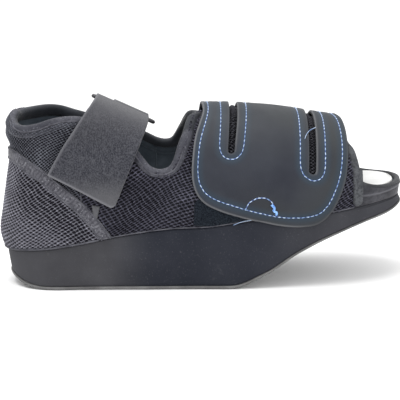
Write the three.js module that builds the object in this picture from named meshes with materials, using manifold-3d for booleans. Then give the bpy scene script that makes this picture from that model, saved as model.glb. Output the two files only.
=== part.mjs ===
// Post operative shoe whose wedge sole takes the load off the forefoot.
// Frame: +X to the toe, -Y the side where both straps close, +Z up, millimetres.
// Every curved piece is worked out from one last: a plan outline, an edge line on the sole and a roof.

import * as THREE from 'three';
import { mergeVertices } from 'three/addons/utils/BufferGeometryUtils.js';
import Module from 'manifold-3d';

const wasm = await Module();
wasm.setup();

// Last: overall sizes
const lastLength = 283;
const ballWidth = 99;
const heelRoundLength = 40;
const toeRoundLength = 43;
const toeEdgeHeight = 59.6;
const toeUndersideHeight = 53.5;
const instepHeight = 121.3;
const collarHeight = 126;
const collarRise = 99.5;
const heelSwell = 3.5;
const heelSquareness = 2;
const toeSquareness = 2.3;
const vampStart = 0.28;
const vampEnd = 0.46;

// Sole
const outsoleThickness = 2.3;
const outsoleToeShare = 0.6;
const outsoleThinStart = 0.55;
const outsoleLip = 0.5;
const soleFlare = 2.2;
const soleRound = 1.6;
const topInset = 0.5;
const grooveDepth = 1;
const grooveWidth = 3.2;
const groovePitch = 13;
const grooveCount = 9;
const grooveStart = 34;
const grooveMargin = 5;
const insoleThickness = 6;
const insoleChamfer = 1.4;
const plateauHeight = 4.2;
const plateauStart = 0.35;
const plateauEnd = 0.9;
const soleWallRoom = 0.4;

// Upper and what is laid on it
const wallThickness = 2.8;
const seatGap = 0.3;
const counterThickness = 1;
const bindingThickness = 1.9;
const bindingWidth = 8.5;
const collarRollThickness = 6.8;
const collarRollWidth = 9;
const toeRollThickness = 5.2;
const toeRollWidth = 6.4;
const toeRimHeight = 11;
const toeBandThickness = 1.5;
const heelRimShare = 0.994;

// Instep flap
const flapHeight = 126.4;
const flapThickness = 2.4;
const flapStandOff = 0.5;
const slotFarLean = 0.35;

// Ankle strap, its ring and the tab that carries the ring
const strapThickness = 1.5;
const strapStandOff = 3.4;
const strapLayerGap = 0.4;
const strapArchDepth = 18;
const strapSettleStart = 32;
const strapSettleEnd = 50;
const strapRest = 0.5;
const strapBow = 2.4;
const strapLean = 0.12;
const strapWallLevel = 0.8;
const strapCornerRadius = 4;
const foldSettle = 8;
const archSquareness = 3;
const ringWire = 2.6;
const ringDepth = 16;
const ringTilt = 5;
const ringRearRoom = 0.6;
const ringFrontRoom = 3.4;
const ringCornerRadius = 2.5;
const tabStandOff = 3.6;
const tabArchDepth = 14;
const tabLength = 44;
const tabStart = 0.32;

// Fineness of the faceted forms
const outlineSteps = 28;
const collarRollSteps = 58;
const toeRollSteps = 48;
const rollSides = 8;
const ringSteps = 28;
const ringSides = 6;
const edgeLineSteps = 80;
const slotArcSteps = 6;
const strapAcross = [0, 0.2, 0.4, 0.6, 0.78, 0.92, 0.97, 1];
const tabAcross = [0, 0.25, 0.5, 0.75, 1];
const weld = 1e-3;

// Reach of the cutting blocks past the shoe, and how far the two sides overlap in the middle.
const cutReach = lastLength;
const sideOverlap = 0.02;

const heelTip = -lastLength / 2 + 1.5;

// A table is a list of rows, one for each section, under named columns.
function table(columns, rows) {
  return rows.map((row) => Object.fromEntries(columns.map((name, column) => [name, row[column]])));
}

// Smooth curve through one column of a table, with no overshoot between its rows.
function through(rows, key, column) {
  const at = rows.map((row) => row[key]);
  const value = rows.map((row) => row[column]);
  const last = at.length - 1;
  const rate = at.slice(1).map((end, k) => (value[k + 1] - value[k]) / (end - at[k]));
  const slope = at.map((_, k) => {
    if (k === 0) return rate[0];
    if (k === last) return rate[last - 1];
    return rate[k - 1] * rate[k] <= 0 ? 0 : (2 * rate[k - 1] * rate[k]) / (rate[k - 1] + rate[k]);
  });
  return (place) => {
    const x = Math.min(Math.max(place, at[0]), at[last]);
    let k = 0;
    while (k < last - 1 && x > at[k + 1]) k += 1;
    const span = at[k + 1] - at[k];
    const u = (x - at[k]) / span;
    const rise = value[k + 1] - value[k];
    const bend = span * (slope[k] * u * (1 - u) ** 2 - slope[k + 1] * u ** 2 * (1 - u));
    return value[k] + rise * u * u * (3 - 2 * u) + bend;
  };
}

// Sections of the last. Shares: along of lastLength, width of half the ballWidth, edge of toeEdgeHeight,
// under of toeUndersideHeight, roof of instepHeight, cover of flapHeight, flare of soleFlare.
const sections = table(
  ['along', 'width', 'edge', 'under', 'roof', 'cover', 'square', 'flare'],
  [
    [0.0, 0.773, 0.445, 0.15, 1.22, 1.1, 6.0, -1.0],
    [0.025, 0.773, 0.457, 0.08, 1.22, 1.1, 6.0, -0.95],
    [0.058, 0.773, 0.474, 0.022, 1.22, 1.1, 6.0, -0.88],
    [0.1, 0.773, 0.493, 0.0, 1.22, 1.1, 6.0, -0.8],
    [0.184, 0.775, 0.547, 0.0, 1.22, 1.1, 6.0, -0.5],
    [0.269, 0.808, 0.624, 0.0, 1.18, 1.06, 5.0, -0.4],
    [0.346, 0.852, 0.685, 0.0, 1.06, 1.02, 3.8, -0.4],
    [0.424, 0.889, 0.725, 0.0, 0.985, 1.0, 2.9, -0.4],
    [0.495, 0.929, 0.738, 0.0, 0.972, 1.0, 2.5, -0.4],
    [0.558, 0.968, 0.775, 0.0, 1.0, 1.0, 2.4, -0.4],
    [0.643, 0.99, 0.829, 0.168, 0.989, 0.984, 2.4, -0.3],
    [0.728, 1.0, 0.859, 0.458, 0.958, 0.957, 2.4, -0.2],
    [0.813, 0.97, 0.889, 0.673, 0.918, 0.926, 2.4, 0.0],
    [0.894, 0.895, 0.948, 0.834, 0.87, 0.9, 2.4, 0.3],
    [0.954, 0.84, 0.983, 0.918, 0.83, 0.88, 2.4, 0.6],
    [1.0, 0.8, 1.0, 1.0, 0.8, 0.87, 2.4, 0.7],
  ],
);

// Swell of the wall outwards: up as a share of collarRise, the rest as shares of heelSwell.
const swells = table(
  ['up', 'heel', 'quarter', 'vamp'],
  [
    [0.0, 0.09, 0.0, 0.0],
    [0.05, 0.63, 0.26, 0.2],
    [0.125, 1.0, 0.5, 0.4],
    [0.27, 0.37, 0.42, 0.45],
    [0.5, -0.74, 0.0, 0.3],
    [0.66, -1.45, -0.45, 0.0],
    [0.73, -1.5, -0.5, 0.0],
    [0.82, -0.72, -0.2, 0.0],
    [0.88, -0.95, -0.32, 0.0],
    [0.94, -2.1, -0.62, 0.0],
    [1.0, -3.4, -0.85, 0.0],
    [1.4, -4.0, -1.0, 0.0],
  ],
);

const widthShare = through(sections, 'along', 'width');
const edgeShare = through(sections, 'along', 'edge');
const underShare = through(sections, 'along', 'under');
const roofShare = through(sections, 'along', 'roof');
const coverShare = through(sections, 'along', 'cover');
const squareness = through(sections, 'along', 'square');
const flareShare = through(sections, 'along', 'flare');
const heelSwellShare = through(swells, 'up', 'heel');
const quarterSwellShare = through(swells, 'up', 'quarter');
const vampSwellShare = through(swells, 'up', 'vamp');

const placeOf = (share) => heelTip + share * lastLength;
const shareOf = (x) => (x - heelTip) / lastLength;
const edgeHeight = (x) => edgeShare(shareOf(x)) * toeEdgeHeight;
const undersideHeight = (x) => underShare(shareOf(x)) * toeUndersideHeight;
const upperRoof = (x) => roofShare(shareOf(x)) * instepHeight;
const flapRoof = (x) => coverShare(shareOf(x)) * flapHeight - flapStandOff - flapThickness;
const smoothStep = (from, to, x) => THREE.MathUtils.smoothstep(x, from, to);

// Half width of the plan outline, round at the heel and blunt at the toe.
function halfWidth(x) {
  const heelShare = Math.min(Math.max((heelTip + heelRoundLength - x) / heelRoundLength, 0), 1);
  const toeShare = Math.min(Math.max((x - placeOf(1) + toeRoundLength) / toeRoundLength, 0), 1);
  const heelRound = (1 - heelShare ** heelSquareness) ** (1 / heelSquareness);
  const toeRound = (1 - toeShare ** toeSquareness) ** (1 / toeSquareness);
  return (ballWidth / 2) * widthShare(shareOf(x)) * heelRound * toeRound;
}

// The outline is walked by turn, from 0 at the heel tip to 1 at the toe tip.
const placeAtTurn = (turn) => heelTip + (lastLength * (1 - Math.cos(Math.PI * turn))) / 2;
const turnAtPlace = (x) => Math.acos(Math.min(Math.max(1 - 2 * shareOf(x), -1), 1)) / Math.PI;

function outlineNormal(turn) {
  const step = 0.002;
  const before = Math.max(turn - step, 0);
  const after = Math.min(turn + step, 1);
  const along = placeAtTurn(after) - placeAtTurn(before);
  const across = halfWidth(placeAtTurn(after)) - halfWidth(placeAtTurn(before));
  const size = Math.hypot(along, across);
  return turn === 0 ? { x: -1, y: 0 } : turn === 1 ? { x: 1, y: 0 } : { x: -across / size, y: along / size };
}

function swellAt(turn, height) {
  const up = Math.max(height, 0) / collarRise;
  const normal = outlineNormal(turn);
  const heelPart = normal.x < 0 ? normal.x ** 2 : 0;
  const vampPart = smoothStep(vampStart, vampEnd, shareOf(placeAtTurn(turn)));
  const side = quarterSwellShare(up) * (1 - vampPart) + vampSwellShare(up) * vampPart;
  return heelSwell * (heelSwellShare(up) * heelPart + side * (1 - heelPart));
}

// Point of the last's skin: turn along the outline, side -1 near or +1 far, level 0 at the edge, 1 at the roof.
function skinPoint(turn, side, level, roof) {
  const x = placeAtTurn(turn);
  const edge = edgeHeight(x);
  const z = edge + level * (roof(x) - edge);
  const power = squareness(shareOf(x));
  const narrowing = level > 0 ? Math.max(1 - level ** power, 0) ** (1 / power) : 1;
  const normal = outlineNormal(turn);
  const swell = swellAt(turn, z - edge);
  return new THREE.Vector3(x + normal.x * swell, side * narrowing * (halfWidth(x) + normal.y * swell), z);
}

// Climb runs from below 0 to 1 and is dense near the roof, where the skin turns over.
const levelAtClimb = (climb) => (climb > 0 ? climb * (2 - climb) : climb);
const climbAtLevel = (level) => (level > 0 ? 1 - Math.sqrt(Math.max(1 - level, 0)) : level);

function skinNormal(turn, side, climb, roof) {
  const step = 0.004;
  const low = Math.max(climb - step, -1);
  const high = Math.min(climb + step, 1);
  const back = Math.max(turn - step, 0);
  const front = Math.min(turn + step, 1);
  const at = (a, b) => skinPoint(a, side, levelAtClimb(b), roof);
  const upward = at(turn, high).sub(at(turn, low));
  const forward = at(front, climb).sub(at(back, climb));
  const normal = side < 0 ? forward.cross(upward) : upward.cross(forward);
  if (climb >= 1 || turn === 0 || turn === 1) normal.y = 0;
  return normal.normalize();
}

function skinOffset(turn, side, climb, roof, offset) {
  const point = skinPoint(turn, side, levelAtClimb(climb), roof);
  return point.addScaledVector(skinNormal(turn, side, climb, roof), offset);
}

// Geometry helpers: faces are written counter-clockwise as seen from outside.
function geometryFrom(points, faces) {
  const geometry = new THREE.BufferGeometry();
  geometry.setAttribute('position', new THREE.Float32BufferAttribute(points.flatMap((p) => [p.x, p.y, p.z]), 3));
  geometry.setIndex(faces);
  const merged = mergeVertices(geometry, weld);
  const index = merged.getIndex().array;
  const kept = [];
  for (let k = 0; k < index.length; k += 3) {
    const [a, b, c] = [index[k], index[k + 1], index[k + 2]];
    if (a !== b && b !== c && c !== a) kept.push(a, b, c);
  }
  merged.setIndex(kept);
  return merged;
}

function solidFrom(geometry) {
  const bare = geometry.clone();
  bare.deleteAttribute('normal');
  bare.deleteAttribute('uv');
  const merged = mergeVertices(bare, weld);
  const vertProperties = new Float32Array(merged.getAttribute('position').array);
  const triVerts = new Uint32Array(merged.getIndex().array);
  return new wasm.Manifold(new wasm.Mesh({ numProp: 3, vertProperties, triVerts }));
}

function geometryOf(solid) {
  const mesh = solid.getMesh();
  const geometry = new THREE.BufferGeometry();
  geometry.setAttribute('position', new THREE.BufferAttribute(new Float32Array(mesh.vertProperties), 3));
  geometry.setIndex(new THREE.BufferAttribute(new Uint32Array(mesh.triVerts), 1));
  return geometry;
}

// Rings stacked upwards, each walked from the heel along the near side and back along the far side.
function stackedRings(rings, closedTop) {
  const size = rings[0].length;
  const half = size / 2;
  const faces = [];
  for (let k = 0; k < rings.length - 1; k += 1) {
    for (let j = 0; j < size; j += 1) {
      const next = (j + 1) % size;
      const [a, b] = [k * size + j, k * size + next];
      faces.push(a, b, b + size, a, b + size, a + size);
    }
  }
  const capRing = (base, upward) => {
    for (let i = 0; i < half; i += 1) {
      const near = base + i;
      const nearNext = base + i + 1;
      const far = base + ((size - i) % size);
      const farNext = base + size - i - 1;
      if (upward) faces.push(near, nearNext, far, far, nearNext, farNext);
      else faces.push(near, far, nearNext, far, farNext, nearNext);
    }
  };
  capRing(0, false);
  if (closedTop) capRing((rings.length - 1) * size, true);
  return geometryFrom(rings.flat(), faces);
}

function ringOf(pointAt) {
  const ring = [];
  for (let i = 0; i <= outlineSteps; i += 1) ring.push(pointAt(i / outlineSteps, -1));
  for (let i = outlineSteps - 1; i > 0; i -= 1) ring.push(pointAt(i / outlineSteps, 1));
  return ring;
}

// The whole last, grown outwards by offset.
const formLevels = [-0.17, 0, 0.05, 0.11, 0.21, 0.33, 0.46, 0.57, 0.65, 0.72, 0.785, 0.86, 0.94, 0.985, 1];

const flapLevels = [-0.17, 0, 0.12, 0.26, 0.42, 0.57, 0.7, 0.82, 0.91, 0.975, 1];

function form(offset, roof, levels = formLevels) {
  const rings = levels.map((level) => {
    const climb = climbAtLevel(level);
    return ringOf((turn, side) => skinOffset(turn, side, climb, roof, offset));
  });
  return solidFrom(stackedRings(rings, false));
}

// Block cut out in the side view: points are x and z, and it runs from low y to high y.
function sideBlock(points, low, high) {
  const shape = new THREE.Shape(points.map(([x, z]) => new THREE.Vector2(x, z)));
  const geometry = new THREE.ExtrudeGeometry(shape, { depth: high - low, bevelEnabled: false });
  geometry.rotateX(Math.PI / 2);
  geometry.translate(0, high, 0);
  return solidFrom(geometry);
}

function lineBetween(from, to, steps, heightAt) {
  const points = [];
  for (let k = 0; k <= steps; k += 1) {
    const x = from + ((to - from) * k) / steps;
    points.push([x, heightAt(x)]);
  }
  return points;
}

// Everything below the edge line, where the sole is.
const edgeLine = lineBetween(-lastLength, lastLength, edgeLineSteps, (x) => edgeHeight(x) + seatGap);
const belowEdge = sideBlock(
  [[-lastLength, -cutReach], [lastLength, -cutReach], ...edgeLine.toReversed()],
  -cutReach,
  cutReach,
);

// Sole: loft of outlines at given heights
function soleRing(offsetAt, heightAt) {
  return ringOf((turn, side) => {
    const x = placeAtTurn(turn);
    const normal = outlineNormal(turn);
    const offset = offsetAt(x);
    return new THREE.Vector3(x + normal.x * offset, side * (halfWidth(x) + normal.y * offset), heightAt(x));
  });
}

const flareAt = (x) => flareShare(shareOf(x)) * soleFlare;
const outsoleDepth = (x) => {
  const thinning = smoothStep(outsoleThinStart, 1, shareOf(x));
  return outsoleThickness * (1 - (1 - outsoleToeShare) * thinning);
};
const outsoleTop = (x) => undersideHeight(x) + outsoleDepth(x);
const midsoleBottom = (x) => outsoleTop(x) + seatGap;
const sideHeight = (x, share) => midsoleBottom(x) + (edgeHeight(x) - midsoleBottom(x)) * share;
const roundAt = (x) => Math.min(soleRound, 0.25 * (edgeHeight(x) - midsoleBottom(x)));
const plateau = (x) => edgeHeight(x) + plateauHeight * smoothStep(plateauStart, plateauEnd, shareOf(x));
const insideWall = -(wallThickness + 2 * seatGap + soleWallRoom);

function makeOutsole() {
  const lip = (x) => flareAt(x) + outsoleLip;
  const rings = [
    soleRing((x) => lip(x) - soleRound, undersideHeight),
    soleRing(lip, (x) => undersideHeight(x) + outsoleDepth(x) * 0.4),
    soleRing(lip, (x) => outsoleTop(x) - outsoleDepth(x) * 0.2),
    soleRing((x) => lip(x) - topInset, outsoleTop),
  ];
  let solid = solidFrom(stackedRings(rings, true));
  for (let k = 0; k < grooveCount; k += 1) {
    const x = heelTip + grooveStart + k * groovePitch;
    const groove = new THREE.BoxGeometry(grooveWidth, 2 * (halfWidth(x) - grooveMargin), grooveDepth * 2);
    groove.translate(x, 0, undersideHeight(x));
    solid = solid.subtract(solidFrom(groove));
  }
  return geometryOf(solid);
}

function makeMidsole() {
  const rings = [
    soleRing((x) => flareAt(x) - topInset, midsoleBottom),
    soleRing(flareAt, (x) => midsoleBottom(x) + roundAt(x) * 0.5),
    soleRing((x) => flareAt(x) * 0.45, (x) => sideHeight(x, 0.5)),
    soleRing(() => 0, (x) => edgeHeight(x) - roundAt(x)),
    soleRing((x) => -roundAt(x) * 0.5, edgeHeight),
    soleRing(() => insideWall, edgeHeight),
    soleRing(() => insideWall, (x) => plateau(x) + 0.01),
  ];
  return stackedRings(rings, true);
}

function makeInsole() {
  const bottom = (x) => plateau(x) + seatGap;
  const rings = [
    soleRing(() => insideWall - insoleChamfer, bottom),
    soleRing(() => insideWall, (x) => bottom(x) + insoleChamfer),
    soleRing(() => insideWall, (x) => bottom(x) + insoleThickness - insoleChamfer),
    soleRing(() => insideWall - insoleChamfer, (x) => bottom(x) + insoleThickness),
  ];
  return stackedRings(rings, true);
}

// Collar rim, from the back of the heel to the top of the throat. Shares: along of lastLength, near and far of
// collarHeight, band of half the collarRollWidth.
const collarRows = table(
  ['along', 'near', 'far', 'band'],
  [
    [0.008, 0.965, 0.98, 1.0],
    [0.03, 0.93, 0.982, 1.0],
    [0.06, 0.921, 0.983, 1.0],
    [0.1, 0.938, 0.987, 0.98],
    [0.135, 0.962, 0.978, 0.94],
    [0.17, 0.973, 0.952, 0.9],
    [0.205, 0.968, 0.926, 0.85],
    [0.24, 0.935, 0.9, 0.8],
    [0.275, 0.895, 0.876, 0.76],
    [0.305, 0.85, 0.855, 0.74],
    [0.328, 0.795, 0.836, 0.73],
    [0.345, 0.745, 0.818, 0.72],
    [0.363, 0.7, 0.797, 0.71],
    [0.385, 0.68, 0.772, 0.7],
    [0.405, 0.682, 0.76, 0.7],
    [0.424, 0.703, 0.763, 0.74],
    [0.438, 0.752, 0.781, 0.82],
    [0.4505, 0.825, 0.822, 0.92],
    [0.4625, 0.882, 0.876, 0.96],
  ],
);
const throatRows = table(
  ['along', 'across', 'band'],
  [
    [0.477, 0.32, 0.9],
    [0.489, 0.16, 0.75],
    [0.4935, 0.0, 0.7],
  ],
);

// Toe opening. Rim rows run back from the toe tip along the low wall, then up the front of the vamp. Shares: up of
// toeRimHeight, band of toeRollWidth, thick of toeRollThickness.
const toeRimRows = table(
  ['along', 'up', 'band', 'thick'],
  [
    [1.0, 0.85, 0.5, 0.7],
    [0.993, 0.83, 0.5, 0.7],
    [0.975, 0.815, 0.5, 0.7],
    [0.955, 0.83, 0.5, 0.7],
    [0.93, 0.94, 0.5, 0.7],
    [0.908, 1.13, 0.5, 0.7],
    [0.89, 1.33, 0.6, 0.75],
    [0.878, 1.56, 0.8, 0.9],
    [0.8725, 1.9, 1.0, 1.0],
    [0.869, 2.45, 1.0, 1.0],
    [0.8655, 3.0, 1.0, 1.0],
    [0.8595, 3.58, 1.0, 1.0],
    [0.8485, 4.05, 1.0, 1.0],
  ],
);
const vampTopRows = table(
  ['along', 'across'],
  [
    [0.8375, 0.42],
    [0.8315, 0.24],
    [0.829, 0.0],
  ],
);

// Lower end of the vamp's front band, laid on the low wall. Shares: rear and front of lastLength, top of toeRimHeight.
const bandEnd = { rear: 0.8608, front: 0.8842, top: 2.1, footGap: 1.2, arcSteps: 8 };

// A place on the middle of the upper's wall, found from its height or from its distance across.
function wallSeatAtHeight(x, side, z) {
  const edge = edgeHeight(x);
  const climb = climbAtLevel((z - edge) / (upperRoof(x) - edge));
  const turn = turnAtPlace(x);
  return {
    point: skinOffset(turn, side, climb, upperRoof, -wallThickness / 2),
    normal: skinNormal(turn, side, climb, upperRoof),
  };
}

function wallSeatAcross(x, side, across) {
  const power = squareness(shareOf(x));
  const climb = climbAtLevel((1 - across ** power) ** (1 / power));
  const turn = turnAtPlace(x);
  return {
    point: skinOffset(turn, side, climb, upperRoof, -wallThickness / 2),
    normal: skinNormal(turn, side, climb, upperRoof),
  };
}

function collarSeats() {
  const sink = (row) => (row.band * collarRollWidth) / 2;
  const sideSeats = (side, column) => [
    ...collarRows.map((row) => ({
      ...wallSeatAtHeight(placeOf(row.along), side, row[column] * collarHeight - sink(row)),
      band: row.band,
    })),
    ...throatRows
      .filter((row) => row.across > 0)
      .map((row) => ({ ...wallSeatAcross(placeOf(row.along), side, row.across), band: row.band })),
  ];
  const heelRow = collarRows[0];
  const heelHeight = heelRimShare * collarHeight - sink(heelRow);
  const heelSeat = { ...wallSeatAtHeight(heelTip, -1, heelHeight), band: heelRow.band };
  const topRow = throatRows[throatRows.length - 1];
  const topSeat = { ...wallSeatAcross(placeOf(topRow.along), -1, 0), band: topRow.band };
  return [heelSeat, ...sideSeats(-1, 'near'), topSeat, ...sideSeats(1, 'far').toReversed()];
}

function toeSeats() {
  const seatOf = (row, side) => {
    const x = placeOf(row.along);
    const seat = wallSeatAtHeight(x, side, edgeHeight(x) + row.up * toeRimHeight);
    return { ...seat, band: row.band, thick: row.thick };
  };
  const sideSeats = (side) => [
    ...toeRimRows.filter((row) => row.along < 1).map((row) => seatOf(row, side)),
    ...vampTopRows
      .filter((row) => row.across > 0)
      .map((row) => ({ ...wallSeatAcross(placeOf(row.along), side, row.across), band: 1 })),
  ];
  const tipSeat = seatOf(toeRimRows[0], -1);
  const topRow = vampTopRows[vampTopRows.length - 1];
  const topSeat = { ...wallSeatAcross(placeOf(topRow.along), -1, 0), band: 1 };
  return [topSeat, ...sideSeats(-1).toReversed(), tipSeat, ...sideSeats(1)];
}

// Padded roll swept round a closed run of seats, and grown outwards.
function rollAlong(seats, thickness, width, growth, steps, sides) {
  const path = new THREE.CatmullRomCurve3(seats.map((seat) => seat.point), true, 'catmullrom', 0.5);
  const lean = new THREE.CatmullRomCurve3(seats.map((seat) => seat.normal), true, 'catmullrom', 0.5);
  const shares = seats.map((seat) => new THREE.Vector3(seat.band, seat.thick ?? 1, 0));
  const share = new THREE.CatmullRomCurve3(shares, true, 'catmullrom', 0.5);
  const points = [];
  const faces = [];
  for (let k = 0; k < steps; k += 1) {
    const u = k / steps;
    const centre = path.getPoint(u);
    const tangent = path.getTangent(u);
    const outward = lean.getPoint(u);
    outward.addScaledVector(tangent, -outward.dot(tangent)).normalize();
    const along = new THREE.Vector3().crossVectors(tangent, outward);
    const { x: band, y: thick } = share.getPoint(u);
    const halfBand = (width * band + growth) / 2;
    const halfThickness = (thickness * thick + growth) / 2;
    for (let j = 0; j < sides; j += 1) {
      const angle = (2 * Math.PI * (j + 0.5)) / sides;
      const point = centre.clone();
      point.addScaledVector(outward, halfThickness * Math.cos(angle));
      point.addScaledVector(along, halfBand * Math.sin(angle));
      points.push(point);
      const next = (j + 1) % sides;
      const ahead = ((k + 1) % steps) * sides;
      const [a, b, c, d] = [k * sides + j, k * sides + next, ahead + j, ahead + next];
      faces.push(a, c, b, b, c, d);
    }
  }
  return geometryFrom(points, faces);
}

function outwardSolid(geometry) {
  const solid = solidFrom(geometry);
  if (solid.volume() > 0) return solid;
  const index = geometry.getIndex().array;
  for (let k = 0; k < index.length; k += 3) [index[k], index[k + 1]] = [index[k + 1], index[k]];
  return solidFrom(geometry);
}

function collarRoll(growth) {
  const seats = collarSeats();
  return outwardSolid(rollAlong(seats, collarRollThickness, collarRollWidth, growth, collarRollSteps, rollSides));
}

function toeRoll(growth) {
  return outwardSolid(rollAlong(toeSeats(), toeRollThickness, toeRollWidth, growth, toeRollSteps, rollSides));
}

// The largest body of a cut piece, without its offcuts.
function withoutOffcuts(solid) {
  return solid.decompose().reduce((best, body) => (body.volume() > best.volume() ? body : best));
}

// What is open above the collar and in front of the vamp, in the side view, for one side.
function openingBlocks(side) {
  const seats = collarSeats();
  const collarLine = seats
    .filter((seat) => side * seat.point.y >= -1e-6)
    .map((seat) => [seat.point.x, seat.point.z])
    .sort((a, b) => a[0] - b[0]);
  const toeLine = toeSeats()
    .filter((seat) => side * seat.point.y >= -1e-6)
    .map((seat) => [seat.point.x, seat.point.z]);
  const ordered = side < 0 ? toeLine : [toeLine[0], ...toeLine.slice(1).toReversed()];
  const [low, high] = side < 0 ? [-cutReach, sideOverlap] : [-sideOverlap, cutReach];
  const behind = [[-lastLength, collarLine[0][1]], ...collarLine, [collarLine.at(-1)[0], cutReach]];
  const ahead = [[ordered[0][0], cutReach], ...ordered, [lastLength, ordered.at(-1)[1]]];
  return [
    sideBlock([...behind, [-lastLength, cutReach]], low, high),
    sideBlock([...ahead, [lastLength, cutReach]], low, high),
  ];
}

function makeUpper() {
  let solid = form(0, upperRoof).subtract(form(-wallThickness, upperRoof)).subtract(belowEdge);
  for (const block of [...openingBlocks(-1), ...openingBlocks(1)]) solid = solid.subtract(block);
  const rollGap = 2 * seatGap;
  return geometryOf(withoutOffcuts(solid.subtract(collarRoll(rollGap)).subtract(toeRoll(rollGap))));
}

// Top edge of the heel counter's binding. Shares: along of lastLength, height of collarHeight.
const counterRows = table(
  ['along', 'height'],
  [
    [-0.04, 0.785],
    [0.022, 0.774],
    [0.046, 0.755],
    [0.08, 0.714],
    [0.12, 0.661],
    [0.145, 0.61],
    [0.175, 0.552],
    [0.212, 0.475],
    [0.236, 0.413],
    [0.268, 0.311],
    [0.3, 0.19],
  ],
);

function shiftedLine(points, distance) {
  return points.map(([x, z], k) => {
    const [before, after] = [points[Math.max(k - 1, 0)], points[Math.min(k + 1, points.length - 1)]];
    const [along, rise] = [after[0] - before[0], after[1] - before[1]];
    const size = Math.hypot(along, rise);
    return [x + (rise / size) * distance, z - (along / size) * distance];
  });
}

const counterTop = counterRows.map((row) => [placeOf(row.along), row.height * collarHeight]);

function overlay(thickness) {
  return form(seatGap + thickness, upperRoof).subtract(form(seatGap, upperRoof)).subtract(belowEdge);
}

function makeCounterBinding() {
  const lower = shiftedLine(counterTop, bindingWidth);
  const band = sideBlock([...counterTop, ...lower.toReversed()].toReversed(), -cutReach, cutReach);
  return geometryOf(withoutOffcuts(overlay(bindingThickness).intersect(band)));
}

function makeCounter() {
  const top = shiftedLine(counterTop, bindingWidth + seatGap);
  const foot = [[-cutReach, 0], [counterTop.at(-1)[0], 0]];
  const panel = sideBlock([...foot, ...top.toReversed(), [-cutReach, top[0][1]]], -cutReach, cutReach);
  return geometryOf(withoutOffcuts(overlay(counterThickness).intersect(panel)));
}

function makeToeBinding() {
  const [rear, front] = [placeOf(bandEnd.rear), placeOf(bandEnd.front)];
  const radius = (front - rear) / 2;
  const centre = [(rear + front) / 2, edgeHeight((rear + front) / 2) + bandEnd.footGap + radius];
  const foot = [];
  for (let k = 0; k <= bandEnd.arcSteps; k += 1) {
    const angle = Math.PI + (Math.PI * k) / bandEnd.arcSteps;
    foot.push([centre[0] + radius * Math.cos(angle), centre[1] + radius * Math.sin(angle)]);
  }
  const top = edgeHeight(front) + bandEnd.top * toeRimHeight;
  const block = sideBlock([...foot, [front, top], [rear, top]], -cutReach, cutReach);
  return geometryOf(toeRoll(0).add(overlay(toeBandThickness).intersect(block)));
}

// Outline of the instep flap in the side view, down its rear edge and up its front edge.
// Shares: along of lastLength, height of flapHeight.
const flapNearRows = table(
  ['along', 'height'],
  [
    [0.502, 1.2],
    [0.501, 0.945],
    [0.491, 0.899],
    [0.48, 0.839],
    [0.4725, 0.75],
    [0.469, 0.642],
    [0.4725, 0.582],
    [0.482, 0.529],
    [0.4995, 0.486],
    [0.526, 0.454],
    [0.573, 0.418],
    [0.6275, 0.385],
    [0.675, 0.359],
    [0.727, 0.3465],
    [0.7645, 0.354],
    [0.787, 0.379],
    [0.806, 0.425],
    [0.83, 0.53],
    [0.84, 0.595],
    [0.846, 0.663],
    [0.85, 0.73],
    [0.851, 0.83],
    [0.849, 0.9],
    [0.844, 0.94],
    [0.844, 1.2],
  ],
);
const flapFarRows = table(
  ['along', 'height'],
  [
    [0.502, 1.2],
    [0.501, 0.945],
    [0.496, 0.84],
    [0.49, 0.72],
    [0.486, 0.6],
    [0.492, 0.2],
    [0.81, 0.2],
    [0.832, 0.55],
    [0.845, 0.68],
    [0.85, 0.83],
    [0.844, 0.94],
    [0.844, 1.2],
  ],
);

// Slots over the top of the flap. Shares: places of lastLength, foot heights of flapHeight.
const slotRows = table(
  ['rearTop', 'frontTop', 'rearFoot', 'frontFoot', 'nearFoot', 'farFoot'],
  [
    [0.576, 0.5985, 0.5585, 0.574, 0.745, 0.89],
    [0.7665, 0.7845, 0.7515, 0.769, 0.63, 0.82],
  ],
);

function slotBlock(row, side) {
  const foot = side < 0 ? row.nearFoot : row.farFoot;
  const lean = side < 0 ? 1 : slotFarLean;
  const rear = placeOf(row.rearTop + (row.rearFoot - row.rearTop) * lean);
  const front = placeOf(row.frontTop + (row.frontFoot - row.frontTop) * lean);
  const radius = (front - rear) / 2;
  const centre = [(rear + front) / 2, foot * flapHeight + radius];
  const points = [];
  for (let k = 0; k <= slotArcSteps; k += 1) {
    const angle = Math.PI + (Math.PI * k) / slotArcSteps;
    points.push([centre[0] + radius * Math.cos(angle), centre[1] + radius * Math.sin(angle)]);
  }
  const top = [[placeOf(row.frontTop), flapHeight * 1.1], [placeOf(row.rearTop), flapHeight * 1.1]];
  const [low, high] = side < 0 ? [-cutReach, sideOverlap] : [-sideOverlap, cutReach];
  return sideBlock([...points, ...top], low, high);
}

function makeFlap() {
  const outline = (rows) => rows.map((row) => [placeOf(row.along), row.height * flapHeight]);
  const near = sideBlock(outline(flapNearRows), -cutReach, sideOverlap);
  const far = sideBlock(outline(flapFarRows), -sideOverlap, cutReach).subtract(belowEdge);
  const [outer, inner] = [flapStandOff + flapThickness, flapStandOff];
  const skin = form(outer, flapRoof, flapLevels).subtract(form(inner, flapRoof, flapLevels));
  let solid = skin.intersect(near.add(far));
  for (const row of slotRows) solid = solid.subtract(slotBlock(row, -1)).subtract(slotBlock(row, 1));
  return geometryOf(withoutOffcuts(solid));
}

// Ankle strap. Corners of its outer face in the side view: places as shares of lastLength, heights of collarHeight.
const strapTop = { rear: [0.24, 1.068], front: [0.369, 0.932] };
const strapEnd = { rear: [0.1201, 0.655], front: [0.2774, 0.462] };

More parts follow.
